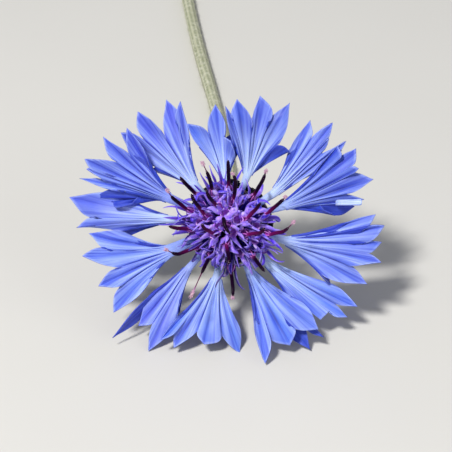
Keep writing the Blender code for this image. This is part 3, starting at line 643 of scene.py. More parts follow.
def ray_floret(surface, ring_angle, throat, half_width, tone, front, back, settings, rng):
    """A ray floret: a tube from the receptacle that flares into a lobed, pleated trumpet,
    pressed flat. Its grid has one column for each point of the rim.

    Tube rows are ellipses round a smooth path. Past the throat, a column's point at share w
    is the throat plus w of the way outwards, w to the power flare of the way across and w to
    the power rise of the way up. A pleat is added that is lowest on a line from each notch,
    a little lower on a line from each tip, and highest between them, then a twist that lifts
    one half of each lobe and lowers the other, a slow sine along the lobe, and a curl that
    grows with the square of the distance past its middle."""
    whiteness, hue, body_darkness = tone
    throat_at = polar(*throat)
    outward = polar(throat[0], 1.0, 0.0)
    across = np.cross(UP, outward)
    front, back = polar(*np.array(front).T), polar(*np.array(back).T)
    if (front[0] - front[-1]) @ across < 0:
        front, back = front[::-1], back[::-1]
    rim, place = rim_loop(np.vstack([front, back]), rng)
    columns = len(rim)
    front_columns = (len(front) - 1) * RIM_STEPS
    number = np.arange(columns)
    share = np.where(number < front_columns, number / front_columns,
                     1 + (number - front_columns) / (columns - front_columns))
    turn = share * pi
    is_front = share < 1

    # The tube: up from the receptacle, out past the disc and flat into the throat.
    foot = RECEPTACLE_TOP + SEAT_GAP
    reach = throat[1] - STRAIGHT_FROM
    path = smooth_path([
        polar(ring_angle, RAY_RING, foot),
        polar(ring_angle, RAY_RING, foot + OVARY_LENGTH),
        polar(ring_angle, RAY_RING, MOUTH_Z - 1.5),
        polar((ring_angle + throat[0]) / 2, RAY_RING + 0.5, MOUTH_Z + 0.9 + 0.5 * throat[2]),
        throat_at - outward * reach + UP * -0.4 * reach,
        throat_at,
    ], 12)
    whole = travelled(path)[-1]
    stops = np.concatenate([[0, 0.4, 1.4, OVARY_LENGTH, OVARY_LENGTH + 0.6],
                            np.linspace(OVARY_LENGTH + 1.4, whole - 0.5, 20), [whole]])
    spine = along(path, stops)
    tangents = unit(np.gradient(spine, axis=0))
    tangents[-1] = outward
    lift = unit(np.cross(tangents, across))
    marks = [0, 0.4, OVARY_LENGTH, OVARY_LENGTH + 0.6, whole - 4.0, whole - 1.0, whole]
    ovary = [0.2, OVARY_RADIUS, OVARY_RADIUS, 0.28]
    wide = np.interp(stops, marks, [*ovary, 0.7 * half_width, 0.9 * half_width, half_width])
    deep = np.interp(stops, marks, [*ovary, 0.32, 0.36, 0.4])
    tube = spine[:, None] + np.cos(turn)[None, :, None] * (wide[:, None] * across)[:, None] \
        + np.sin(turn)[None, :, None] * (deep[:, None] * lift)[:, None]

    # The trumpet, from the throat to the rim.
    w = np.linspace(0, 1, FAN_ROWS + 1)[1:, None] ** 0.92
    start = tube[-1] - throat_at
    goal = rim - throat_at
    out = (goal @ outward) * w
    side = (start @ across) * (1 - w)**2 + (goal @ across) * w**settings.flare
    up = start[:, 2] * (1 - w)**1.5 + goal[:, 2] * w**settings.rise
    at_notch = np.abs(place)
    lobe = np.floor((number + 0.5) / (2 * RIM_STEPS)).astype(int)
    lobes = lobe.max() + 1
    strength = rng.uniform(0.5, 1.3, lobes)[lobe]
    wave = 0.5 * strength * (np.sin(pi * at_notch)**2 - bell(at_notch, 0, 0.13)) \
        - bell(at_notch, 1, 0.16)
    depth = settings.pleat / MM * (0.1 + 0.9 * np.sin(pi * w**0.75)) * np.minimum(1, 2.5 * w)
    facing = np.where(is_front, 1.0, -0.6)
    twist = (rng.uniform(0.35, 1.0, lobes) * rng.choice([-1, 1], lobes))[lobe]
    within_lobe = 1 - at_notch**2
    turned = twist * place * within_lobe * w**2.5 * settings.twist / MM * 2.6
    waviness = settings.waviness / MM * np.sin(2 * pi * (1.6 * w + rng.random(lobes)[lobe])) \
        * w * np.sin(pi * np.minimum(w + 0.02, 1))
    curl = rng.uniform(-1, 1, lobes)[lobe] * settings.curl / MM * ramp(w, 0.6, 1)**2 * within_lobe
    up = up + depth * wave * facing + turned + waviness + curl
    fan = throat_at + out[..., None] * outward + side[..., None] * across + up[..., None] * UP

    # The inside, which starts a little below the throat and meets the outside at the rim.
    outer = np.vstack([tube, fan])
    lengthwise = np.gradient(outer, axis=0)
    crosswise = np.roll(outer, -1, axis=1) - np.roll(outer, 1, axis=1)
    normal = np.cross(crosswise, lengthwise)
    normal /= np.linalg.norm(normal, axis=2, keepdims=True) + 1e-9
    lining = len(stops) - 3
    inner = (outer - normal * settings.thickness / MM)[lining:]
    order = np.r_[:len(outer), len(outer) - 1:lining - 1:-1]
    inside = (np.arange(len(order)) >= len(outer))[:, None]

    # The values for its colours: full is the share of the way from the throat to the rim.
    full = np.concatenate([np.zeros(len(stops)), w[:, 0]])[order, None]
    soon = ramp(full, 0, 0.4)
    # Painted highlight: the middle of each half-lobe, where the pleat rises, is painted paler.
    ridge = bell(at_notch, 0.5, 0.3) * soon
    tint = rng.normal(0, 0.16, lobes)[lobe]
    # Painted shade: dark lines from each notch and along the middle of each tip, where the pleats fold.
    notch_line = bell(at_notch, 1, 0.1) * ramp(full, 1.12, 1.12 - 1 / 3)
    tip_line = (strength - 0.4) * bell(at_notch, 0, 0.09) * ramp(full, 1, 2 / 3)
    # Painted shade on the half of each lobe that its twist lowers.
    turned_half_shade = np.clip(-twist * place * 2.2, 0, 1) * (1 - at_notch**4) * ramp(full, 0.35, 0.85)
    pale = ramp(full, 0.55 + 0.3 * whiteness, 0)**1.2 * (1 - 0.3 * tip_line)
    pale_at = whole - max(throat[1] - PALE_FROM, 0.0)
    in_tube = np.concatenate([np.interp(stops, [pale_at - 1.0, pale_at], [1, 0]),
                              np.zeros(FAN_ROWS)])[order, None]
    column = number * VEIN_CELLS[0] + 100 * rng.random()
    violet = np.clip(hue + rng.normal(0, 0.15, lobes)[lobe], 0, 1)
    surface.rod(
        np.vstack([outer, inner[::-1]]), row=VEIN_CELLS[1] * full, column=column,
        violet=violet, tube=in_tube,
        ridge=(0.75 - 0.4 * body_darkness) * np.clip(ridge + tint * full, 0, 1),
        crease=np.clip((notch_line + tip_line) * ramp(full, 0, 0.25) + 0.5 * turned_half_shade, 0, 1),
        # Painted highlight: a pale line along the rim.
        edge=0.5 * ramp(full, 0.965, 0.995),
        pale=np.clip(1.3 * whiteness * pale, 0, 1),
        # Darker by the floret's own amount and a random amount per lobe, and darker towards the rim.
        deep=np.clip((body_darkness + 0.6 * tint) * soon + 0.45 * ramp(full, 0.5, 1), 0, 1),
        # Painted shade: the lining and the back lobes are painted a deeper blue, as if in shade.
        under=np.where(is_front, inside, 0.85))


def folded_tip(surface, start, end, half_width):
    """A lobe's end that is folded over, so that its pale face shows: a narrow sheet from the
    fold to a blunt tip. Its middle is raised by 1 - v squared across and drops to the lobe at
    the fold, and its half width is full until the last tenth."""
    q = np.linspace(0, 1, 16)[:, None]
    v = np.linspace(-1, 1, 9)[None, :]
    start, end = polar(*start), polar(*end)
    side = unit(np.cross(UP, end - start))
    half = half_width * (1 - 0.35 * ramp(q, 0.9, 1)**2) * (0.85 + 0.15 * q)
    lift = 0.16 * (1 - v**2) + 0.12 * np.sin(2 * pi * q) - 0.7 * np.exp(-q / 0.08)
    middle = start + (end - start) * q[..., None] + side * (half * v)[..., None] \
        + UP * lift[..., None]
    front, back = (middle + UP * 0.04)[None], (middle - UP * 0.04)[None]
    # Its ridge and edge values lay painted highlight on it, as on the florets.
    surface.sheets(front, back, row=VEIN_CELLS[1] * q, column=3.0 * v, violet=0.7, tube=0.0,
                   ridge=0.2, crease=0.0, edge=0.5 * np.abs(v)**4, pale=0.9 - 0.35 * v**2,
                   deep=0.0, under=0.0)


class CornflowerRays(bpy.types.PropertyGroup):
    """What a ray floret is like."""

    thickness: length("Thickness", "Thickness of a ray floret's tissue", 0.13, 0.02)
    pleat: length("Pleat depth", "How far a pleat rises above the valley beside it", 0.46)
    waviness: length("Waviness", "Height of the slow waves along a lobe", 0.16)
    curl: length("Curl", "How far a lobe's tip may bend up or down", 0.9)
    twist: length("Twist", "How far a lobe's two halves stand apart in height", 0.3)
    flare: bpy.props.FloatProperty(
        name="Flare", description="How late a floret widens: 1 is a straight funnel",
        default=1.15, min=1.0, max=3.0)
    rise: bpy.props.FloatProperty(
        name="Rise", description="How late a floret's rim lifts: 1 is a straight funnel",
        default=1.25, min=1.0, max=3.0)
    # Painted highlight: the pale colour laid on the pleats' ridges.
    light: colour("Ridges", "Colour of the pleats' ridges", "A2B8FF")
    mid: colour("Azure body", "Body colour of the bluest florets", "6288F2")
    violet: colour("Violet body", "Body colour of the most violet florets", "686EEC")
    deep: colour("Deep body", "Body colour of the darkest florets", "2E4CC8")
    # Painted shade: the dark colour laid in the creases and on the lowered half of each lobe.
    dark: colour("Creases", "Colour of the folds", "182A96")
    # Painted shade: the deep blue laid on the lining and the back lobes.
    under: colour("Underside", "Colour of the back and inside", "2842BE")
    # Painted highlight: the pale colour laid along the lobes' rims.
    edge: colour("Rim", "Colour along the lobes' edges", "B4C4FF")
    throat: colour("Throat", "Colour of the pale throat", "CCE0FF")
    tube: colour("Tube", "Colour of the tube below the throat", "2A3CB8")


class CORNFLOWER_OT_rays(bpy.types.Operator):
    """Build the thirteen ray florets"""

    bl_idname = "cornflower.rays"
    bl_label = "Ray florets"

    def execute(self, context):
        settings = context.scene.cornflower_rays
        skin = petal_skin(settings)
        seats = even_ring([floret[0][0] for floret in RAY_FLORETS], way=-1)
        for number, (seat, floret) in enumerate(zip(seats, RAY_FLORETS), 1):
            surface = Surface()
            ray_floret(surface, seat, *floret, settings, np.random.default_rng(number))
            if number == FOLDED_FLORET:
                folded_tip(surface, *FOLDED_TIP)
            finish_piece(surface.build(f"petal_{number:02d}", skin), "ray_floret_blue",
                         f"ray_floret_{number:02d}")
        return {"FINISHED"}


# ---------------------------------------------------------------- disc florets


SHADED_WAY = np.radians(258)  # painted shade falls most on the florets at the disc's rim this way
ANTHER_LENGTH = 5.0
FILAMENT_RADIUS = 0.065
STRAP_LENGTHS = (2.7, 4.5)
STRAP_HALF_WIDTHS = (0.13, 0.22)
STRAP_THICKNESS = 0.06
YOUNG_SIZE = 0.9
# Younger disc florets that stand between those of DISC_FLORETS and have no anthers out yet:
# the angle, distance and height of each mouth, and how pink it is, partly its own hue and partly
# painted light coming through its cup.
YOUNG_FLORETS = (
    (20.0, 1.25, 5.6, 0.95), (110.0, 1.3, 5.6, 1.0), (200.0, 1.4, 5.5, 0.95),
    (290.0, 1.3, 5.5, 0.9), (30.0, 3.3, 4.6, 0.75), (66.0, 3.3, 4.7, 0.85),
    (103.0, 3.3, 4.7, 0.8), (148.0, 4.2, 4.2, 0.45), (177.0, 3.7, 4.4, 0.6),
    (202.0, 3.7, 4.2, 0.5), (232.0, 3.3, 4.3, 0.5), (255.0, 4.0, 4.2, 0.5),
    (291.0, 4.1, 4.1, 0.4), (328.0, 4.0, 4.2, 0.4), (354.0, 3.5, 4.3, 0.5),
    (-37.0, 5.7, 3.0, 0.15), (178.0, 5.9, 3.0, 0.25), (103.0, 5.0, 3.7, 0.2),
)


def disc_centreline(ring_angle, ring, mouth, tip, mouth_height, bow=PLAIN_BOW):
    """The curve that a disc floret follows: up from the receptacle, out to its corolla's
    mouth and on to the tip of its anthers. Also how far along it the mouth is."""
    foot = RECEPTACLE_TOP + SEAT_GAP
    opening = polar(*mouth, mouth_height)
    end = polar(*tip, 0.0)
    sideways = np.linalg.norm((end - opening)[:2])
    end[2] = mouth_height + max(ANTHER_LENGTH**2 - sideways**2, (0.35 * ANTHER_LENGTH)**2) ** 0.5
    steps = 12
    path = smooth_path([
        polar(ring_angle, ring, foot),
        polar(ring_angle, ring, foot + OVARY_LENGTH),
        polar(ring_angle, ring, MOUTH_Z - 1.2),
        polar((ring_angle + mouth[0]) / 2, ring + 0.12 * (mouth[1] - ring), MOUTH_Z + 1.8),
        opening, (opening + end) / 2 + bow, end,
    ], steps)
    return path, travelled(path)[4 * steps]


def disc_corolla(surface, path, mouth_at, pink, size, rng):
    """A disc floret's corolla: rings round its path that widen into a cup, the cup's lining,
    and five boat-shaped straps that leave its rim and curl outwards.

    A strap's direction turns away from the corolla's axis as a power of the way along it, and
    sways sideways as a sine. Its half width swells a little and then narrows to a point, and
    its edges rise above its midline by the square of the distance from it."""
    stops = np.concatenate([[0, 0.5, OVARY_LENGTH, OVARY_LENGTH + 0.5],
                            np.linspace(4.2, mouth_at - 3.4, 8),
                            np.linspace(mouth_at - 3.0, mouth_at, 9)])
    radii = np.interp(stops, [0, 0.5, OVARY_LENGTH, OVARY_LENGTH + 0.5, mouth_at - 3.2,
                              mouth_at - 1.9, mouth_at - 0.5, mouth_at],
                      [0.2, OVARY_RADIUS, OVARY_RADIUS, 0.24, 0.34, 0.58, 0.6,
                       0.66 + 0.12 * pink]) * size
    outer = rings(along(path, stops), radii, 20, ridges=5, ridge_share=0.06)
    centre, before = along(path, [mouth_at, mouth_at - 1.6])
    axis = unit(centre - before)
    shrink, depths = np.array([0.88, 0.8, 0.66]), np.array([0.0, 0.7, 1.6])
    lining = centre - axis * depths[:, None, None] + (outer[-1] - centre) * shrink[:, None, None]
    tone = rng.uniform(0, 0.6 + 0.4 * pink)
    angle, distance = np.arctan2(centre[1], centre[0]), np.hypot(*centre[:2])
    # Painted shade: florets near the disc's rim are painted darker, most on its lower side, as if in the
    # disc's shadow.
    dim = ramp(distance, 2.2, 4.2) * rng.uniform(0.6, 1.2) \
        * (0.22 + 0.63 * max(0.0, np.cos(angle - SHADED_WAY)))
    low = np.interp(stops, [mouth_at - 3.0, mouth_at], [0.5, 0.25])
    # The pink value is partly the floret's own hue and partly painted light coming through its cup.
    pinks = np.interp(stops, [mouth_at - 2.5, mouth_at], [0.2 * pink, pink])
    surface.rod(np.vstack([outer, lining]), tone=tone, dim=dim, edge=0.0,
                along=np.append(low, [0.2] * 3)[:, None],
                pink=np.append(pinks, [min(1.0, pink + 0.3)] * 3)[:, None])

    # The five straps at once, with q the share of the way along and v of the way across.
    count, steps = 5, 20
    turn = rng.random() * 2 * pi + np.arange(count) * 2 * pi / count + rng.normal(0, 0.12, count)
    side = unit(outer[-1, 0] - centre)
    away = fan_out(turn, side, np.cross(axis, side))[:, None]
    width_way = np.cross(axis, away)
    q = np.linspace(0, 1, steps)
    v = np.linspace(-1, 1, 7)
    strap_length = rng.uniform(*STRAP_LENGTHS, count) * (1 - 0.3 * pink) * size**0.5
    curled = 0.5 - 0.35 * pink
    end_lean = np.choose(rng.choice(3, count, p=[0.7 - curled, 0.3, curled]),
                         [rng.uniform(5, 45, count), rng.uniform(60, 130, count),
                          rng.uniform(150, 330, count)])
    lean = np.radians(5 + (end_lean - 5)[:, None] * q**rng.uniform(1.1, 2.2, (count, 1)))
    swing = rng.normal(0, 0.8, count)[:, None] * q**2 \
        + rng.uniform(0.1, 0.5, (count, 1)) * np.sin(2 * pi * (q + rng.random((count, 1))))
    heading = (np.cos(lean)[..., None] * axis + (np.sin(lean) * np.cos(swing))[..., None] * away
               + (np.sin(lean) * np.sin(swing))[..., None] * width_way)
    sunward = unit(centre * [1, 1, 0]) * min(1.0, distance / 3)
    heading = unit(heading + (0.2 + 0.7 * pink) * q[:, None] * sunward)
    step = strap_length[:, None, None] * heading / (steps - 1)
    line = centre + away * 0.56 * size + np.cumsum(step, axis=1) - step[:, :1] - 0.5 * axis
    roll = rng.normal(0, 0.8, count)[:, None, None] * q[:, None]
    across = np.cos(roll) * width_way + np.sin(roll) * np.cross(heading, width_way)
    across = unit(across - heading * (across * heading).sum(axis=2, keepdims=True))
    normal = np.cross(heading, across)[:, :, None]
    half = (rng.uniform(*STRAP_HALF_WIDTHS, count)[:, None] + 0.13 * pink**2) * size \
        * (1.05 + 0.25 * np.sin(pi * q**0.7)) * (1 - q**3)**0.7 + 0.012
    cup = 0.7 * half * (1 - 0.4 * q)
    middle = (line[:, :, None] + across[:, :, None] * (half[:, :, None] * v)[..., None]
              - normal * (cup[:, :, None] * v**2)[..., None])
    thin = STRAP_THICKNESS / 2 * normal
    # The straps' pink, partly their own hue and partly painted light through them, fades towards their
    # tips.
    faded = np.clip(pink + rng.normal(0, 0.15, count), 0, 1)[:, None] * (1 - 0.5 * q)
    tones = np.clip(tone + rng.normal(0, 0.3, count), 0, 1)[:, None, None]
    # Painted highlight: the straps' edges are painted pale, less where painted shade lies.
    surface.sheets(middle + thin, middle - thin, tone=tones, dim=dim,
                   edge=0.9 * (1 - 0.6 * dim) * np.abs(v)**3, along=(0.25 + 0.75 * q)[:, None],
                   pink=faded[..., None])


OCTAHEDRON = np.array([[1, 0, 0], [-1, 0, 0], [0, 1, 0], [0, -1, 0], [0, 0, 1], [0, 0, -1.0]])
OCTAHEDRON_FACES = np.array([[0, 2, 4], [2, 1, 4], [1, 3, 4], [3, 0, 4],
                             [2, 0, 5], [1, 2, 5], [3, 1, 5], [0, 3, 5]])


def add_grains(surface, spots, away, sizes, rng, **values):
    """Pollen grains: eight-sided crystals, each some way off its spot in any direction. The
    distance, the size and a value that is given as a range differ from grain to grain."""
    count = len(spots)
    centres = spots + unit(rng.normal(size=(count, 3))) * rng.uniform(*away, (count, 1))
    sizes = rng.uniform(*sizes, count)
    values = {name: rng.uniform(*value, (count, 1)) if isinstance(value, tuple) else value
              for name, value in values.items()}
    numbers = surface.add(centres[:, None] + OCTAHEDRON * sizes[:, None, None], **values)
    surface.triangles.append(numbers[:, OCTAHEDRON_FACES].reshape(-1, 3))


def anther_column(surface, path, mouth_at, style_out, bend_way, rng):
    """An anther column: rings with five shallow ridges along the path, five filaments bowed
    out below it, a rounded and slightly hooked tip, and the style that grows through, which
    ends in a fuzzy stigma. Pollen sticks to the tip."""
    end = travelled(path)[-1]
    start, hook_length = mouth_at - 1.3, 1.3
    stops = np.linspace(start, end, 30)
    spine = along(path, stops)
    hook = ramp(stops, end - hook_length, end)[:, None]**2
    ahead = unit(spine[-1] - spine[-5])
    sideways = polar(bend_way, 1.0, 0.0)
    sideways = unit(sideways - 0.999 * ahead * (ahead @ sideways))
    spine = spine + sideways * hook * rng.uniform(0.15, 0.6)
    share = (stops - start) / (end - start)
    radii = np.interp(share, [0, 0.25, 0.36, 0.6, 0.9, 0.96, 0.985, 1.0],
                      [0.14, 0.16, 0.22, 0.25, 0.23, 0.2, 0.15, 0.07])
    # The florets in the middle and at both sides show more of their magenta.
    reach = min(np.interp(abs(spine[-1, 1] + 0.5), [2.5, 5.5], [1.0, 0.55]),
                np.interp(np.hypot(*spine[-1, :2]), [1.5, 3.0], [0.62, 1.0]))
    dark = np.interp(share, [0.2, 0.3 * reach + 0.12, reach], [0.0, 0.45, 1.0])[:, None]
    surface.rod(rings(spine, radii, 15, ridges=5, ridge_share=0.08), along=dark, stigma=0.0,
                dust=0.0)

    # Filaments: from the cup's lining to the foot of the anthers.
    count, steps = 5, 8
    q = np.linspace(0, 1, steps)[None, :, None]
    low, high = along(path, [mouth_at - 1.0, mouth_at + 1.1])
    across, other = turning_frames(np.array([low, high]))
    turn = rng.random() * 2 * pi + np.arange(count) * 2 * pi / count
    away = fan_out(turn, across[0], other[0])[:, None]
    for line in low + (high - low) * q + away * (0.4 * (1 - q) + 0.16 * q
                                                 + 0.22 * np.sin(pi * q)):
        surface.rod(rings(line, np.full(steps, FILAMENT_RADIUS), 6), along=0.0, stigma=0.6,
                    dust=0.1)

    way = unit(spine[-1] - spine[-4])
    if style_out:
        q = np.linspace(0, 1, 14)[:, None]
        bend = rng.uniform(0.2, 0.5) * style_out * sideways
        line = spine[-1] - way * 0.3 + way * q * style_out + bend * q**2
        swell = np.interp(q[:, 0], [0, 0.5, 0.8, 0.92, 1], [0.09, 0.06, 0.09, 0.15, 0.05])
        surface.rod(rings(line, swell, 10), along=0.7, stigma=0.8 * ramp(q, 0.6, 0.8),
                    dust=ramp(q, 0.7, 0.95))
        add_grains(surface, line[rng.integers(11, 14, 120)], (0.08, 0.3), (0.03, 0.07), rng,
                   along=1.0, stigma=1.0, dust=(0.2, 1.0))
    add_grains(surface, spine[rng.integers(26, 30, 26)], (0.16, 0.24), (0.02, 0.04), rng,
               along=1.0, stigma=(0.2, 0.8), dust=0.6)


class CornflowerDisc(bpy.types.PropertyGroup):
    """The colours of the disc florets."""

    # Partly the cups' own violet, painted darker as the shade deep among the straps.
    base: colour("Corolla", "Colour of the outer corollas' cups", "3616A4")
    strap: colour("Straps", "Colour of the most violet straps", "703EFC")
    blue: colour("Bluer straps", "Colour of the bluest straps", "4236F4")
    # Used for the darker mottling and for the painted shade on the florets at the disc's rim.
    shade: colour("Mottling", "Colour of the darker mottling", "180664")
    # Painted highlight: the pale colour laid along the straps' edges.
    edge: colour("Strap edges", "Colour along a strap's edges", "A896FF")
    # Painted highlight: the colour of the small glints.
    painted_glint: colour("Gleam", "Colour of the small pale spots", "F2DCFF")
    # These two pinks are partly the middle florets' own hue and partly painted light coming through the
    # cups.
    blush: colour("Blush", "Colour of the cups in the middle", "E294FF")
    lilac: colour("Middle straps", "Colour of the straps in the middle", "C29EFF")
    anther: colour("Anthers", "Colour of the anthers", "16021C")
    maroon: colour("Anther foot", "Colour of the lower anthers", "700E56")
    filament: colour("Filaments", "Colour below the anthers", "C84AD0")
    style: colour("Styles", "Colour of the styles", "BE80C0")
    stigma: colour("Stigmas", "Colour of stigma and pollen", "E5C6CE")


def disc_florets():
    """Each disc floret's number, centreline, mouth, how pink it is (partly its own hue, partly painted
    light coming through its cup), how far its style is out and which way it bends."""
    number = 0
    for ring, pink, florets in zip(DISC_RINGS, DISC_PINKS, DISC_FLORETS):
        seats = even_ring([floret[0][0] for floret in florets])
        for seat, (mouth, tip, height, out, bend) in zip(seats, florets):
            number += 1
            bow = MIDDLE_BOW if number == 1 else PLAIN_BOW
            path, mouth_at = disc_centreline(seat, ring, mouth, tip, height, bow)
            yield number, path, mouth_at, pink, out, bend


class CORNFLOWER_OT_disc_corollas(bpy.types.Operator):
    """Build the disc florets' corollas"""

    bl_idname = "cornflower.disc_corollas"
    bl_label = "Disc corollas"

    def execute(self, context):
        skin = disc_skin(context.scene.cornflower_disc)
        florets = [(Surface(), *floret) for floret in disc_florets()]
        mouths = np.array([along(path, [mouth_at])[0] for _, _, path, mouth_at, *_ in florets])
        for surface, number, path, mouth_at, pink, *_ in florets:
            disc_corolla(surface, path, mouth_at, pink, 1.0, np.random.default_rng(100 + number))
        for number, (angle, distance, height, pink) in enumerate(YOUNG_FLORETS, 1):
            path, mouth_at = disc_centreline(angle, 0.55 * distance, (angle, distance),
                                             (angle, 1.5 * distance + 0.8), height)
            apart = np.linalg.norm(mouths - polar(angle, distance, height), axis=1)
            disc_corolla(florets[np.argmin(apart)][0], path, mouth_at, pink, YOUNG_SIZE,
                         np.random.default_rng(150 + number))
        for surface, number, *_ in florets:
            finish_piece(surface.build(f"corolla_{number:02d}", skin), "disc_corolla_violet",
                         f"disc_corolla_{number:02d}")
        return {"FINISHED"}


class CORNFLOWER_OT_anther_columns(bpy.types.Operator):
    """Build the disc florets' anther columns and stigmas"""

    bl_idname = "cornflower.anther_columns"
    bl_label = "Anther columns"

    def execute(self, context):
        skin = anther_skin(context.scene.cornflower_disc)
        for number, path, mouth_at, _, style_out, bend in disc_florets():
            surface = Surface()
            anther_column(surface, path, mouth_at, style_out, bend,
                          np.random.default_rng(200 + number))
            finish_piece(surface.build(f"anthers_{number:02d}", skin), "anther_maroon",
                         f"anther_column_{number:02d}")
        return {"FINISHED"}


# ---------------------------------------------------------------- bracts


def bract_row(surface, row, rng):
    """One row of bracts. A bract's grid runs up it and across it, on the row's own surface of
    revolution: its half width follows an egg-shaped curve that ends in a point, and the upper
    margin is cut into teeth by a triangular wave. The outermost row's surface closes in on
    the stem along a quarter of an ellipse."""
    rows, columns, teeth = 64, 11, 9
    foot, tip = BRACT_FEET[row], BRACT_TOPS[row]
    last = foot == min(BRACT_FEET)
    pitch = 2 * pi / BRACTS_IN_ROW
    bract = np.arange(BRACTS_IN_ROW)
    h = np.linspace(0, 1, rows)[:, None]
    v = np.linspace(-1, 1, columns)
    centre = (bract + (1.0 if row % 2 == 0 else 0.5)) * pitch
    centre = (centre + rng.normal(0, 0.03, BRACTS_IN_ROW))[:, None, None]
    upper = ramp(h, 0.5, 1)
    half = 0.62 * pitch * (0.82 + 0.25 * np.sin(pi * h)) * (1 - upper**2.2)**0.6 + 0.004 \
        + 0.06 * last * ramp(h, 1 / 3, 0)
    margin = np.abs(v)
    at_edge = margin > 0.99
    wave = 2 * np.abs((h * teeth * 2) % 1 - 0.5)
    tooth_reach = at_edge * 0.1 * wave * ramp(h, 0.42, 0.42 + 1 / 6) \
        * np.maximum(ramp(h, 1, 11 / 12), 0.3)
    angle = centre + v * (half + tooth_reach)
    height = foot + (tip - foot) * h + 2.0 * tooth_reach + 0 * centre
    tuck = 0.16 * (bract % 2)[:, None, None] * (1 - 0.3 * h)
    flare = 0.25 * ramp(h, 0.8, 1)**2
    radius = np.interp(height, CAVITY_HEIGHTS, CAVITY_RADII) + BRACT_INNER_GAP \
        + row * BRACT_PITCH + tuck + flare - 0.15 * margin**2 * (half > 0.2) \
        + 0.05 * ramp(margin, 1 / 6, 0)
    if last:
        fall = ramp(height, BRACT_BASE_TOP, foot)
        base = STEM_RADIUS - 0.15
        radius = base + (radius - base) * np.sqrt(1 - fall**2)
    thin = np.where(at_edge, 0.05, BRACT_THICKNESS)
    outer, inner = (np.stack([r * np.cos(angle), r * np.sin(angle), height], axis=-1)
                    for r in (radius + BRACT_THICKNESS, radius + BRACT_THICKNESS - thin))
    top = ramp(h, 0.4, 0.65)
    edge = np.maximum(ramp(margin, 0.62, 0.87) * top, ramp(h, 0.86, 0.96))
    # Painted shade: the inner faces, turned into the head, are painted dark violet. The inner two rows'
    # tips carry a violet tinge of their own in the same colour.
    surface.sheets(outer, inner, behind={"inside": 1.0},
                   inside=0.6 * ramp(h, 0.6, 0.9) * (row < 2), margin=edge,
                   nerve=20.0 * bract[:, None, None] + 14 * v * np.maximum(half, 0.1),
                   rise=1.5 * h, tooth=at_edge * top, foot=ramp(h, 2 / 7, 0))


class CornflowerBracts(bpy.types.PropertyGroup):
    """The colours of the bracts."""

    green: colour("Body", "Colour of a bract's middle", "86A05A")
    shade: colour("Shade", "Darker colour in a bract's middle", "566F38")
    foot: colour("Foot", "Colour of a bract's papery foot", "B4BC88")
    margin: colour("Margin", "Colour of the dark margin", "4A2E24")
    tooth: colour("Teeth", "Colour of the fringe", "B89A80")
    # Painted shade on the inner faces, and the inner bracts' own violet tips.
    inside: colour("Inside", "Colour of inner faces and of the inner bracts' tips", "2A1C48")


class CORNFLOWER_OT_bracts(bpy.types.Operator):
    """Build the rows of fringed bracts"""

    bl_idname = "cornflower.bracts"
    bl_label = "Bracts"

    def execute(self, context):
        skin = bract_skin(context.scene.cornflower_bracts)
        for row in range(len(BRACT_TOPS)):
            surface = Surface()
            bract_row(surface, row, np.random.default_rng(300 + row))
            finish_piece(surface.build(f"bracts_{row + 1}", skin), "bract_green",
                         f"bract_row_{row + 1}")
        return {"FINISHED"}


# ---------------------------------------------------------------- stem


def stem_route():
    """The stem's centreline in the row frame, in millimetres, and its radii: the receptacle's
    plate, the neck, one even bend down to the table, then the lying stretch."""
    axis, neck = HEAD_AXES[2], HEAD_CENTRE + HEAD_AXES[2] * NECK_Z
    turn = np.arcsin(axis[2])
    bend = (neck[2] - STEM_RADIUS) / (1 - cos(turn))
    left = np.linspace(0, turn, 18)[:, None]
    curve = neck + np.hstack([0 * left, bend * (sin(turn) - np.sin(turn - left)),
                              -bend * (np.cos(turn - left) - cos(turn))])
    touch = curve[-1]
    drift = np.array(STEM_DRIFT)
    behind = np.stack([drift[:, 1], drift[:, 0], np.full(len(drift), STEM_RADIUS)], axis=1)
    behind += [HEAD_CENTRE[0], HEAD_CENTRE[1], 0]
    behind = behind[drift[:, 0] > touch[1] - HEAD_CENTRE[1] + 12]
    last = [2 * behind[-1][0] - behind[-2][0], STEM_LYING_END + HEAD_CENTRE[1], STEM_RADIUS]
    lying = smooth_path([touch, touch + [0, 6, 0], *behind, last], 24)[1:]
    plate_depths = np.array([0, 0.1, 0.5, 1.3, 2.2])
    top = HEAD_CENTRE + (RECEPTACLE_TOP - plate_depths)[:, None] * axis
    path = np.vstack([top, curve, lying])
    radii = np.interp(path[:, 1], [HEAD_CENTRE[1] + 30, HEAD_CENTRE[1] + 60],
                      [0.8, 1.0]) * STEM_RADIUS
    radii[:len(top)] = [3.1, RECEPTACLE_RADIUS, RECEPTACLE_RADIUS, 2.45, 1.5]
    radii[len(top)] = STEM_RADIUS + 0.1
    return path, radii


def stem(surface, path, radii):
    """The receptacle and stem: rings along the route with eight shallow ribs that wind slowly,
    ending in a flat cut with a slightly sunken pith."""
    sides, ribs, winding = 32, 8, 0.03
    grid = rings(path, radii, sides, ridges=ribs, ridge_share=0.055, twist=winding)
    turn = np.linspace(0, 2 * pi, sides, endpoint=False)
    rib = 0.5 + 0.5 * np.cos(ribs * turn + winding * np.arange(len(path))[:, None])
    way = unit(path[-1] - path[-2])
    cut = np.stack([path[-1] + (grid[-1] - path[-1]) * share + way * depth
                    for share, depth in ((0.97, 0.03), (0.72, 0.02), (0.6, -0.1), (0.2, -0.12))])
    surface.rod(np.vstack([grid, cut]), rib=np.vstack([rib, np.ones((4, sides))]),
                cut=np.concatenate([np.zeros(len(path)), [0.3, 0.8, 1, 1]])[:, None])


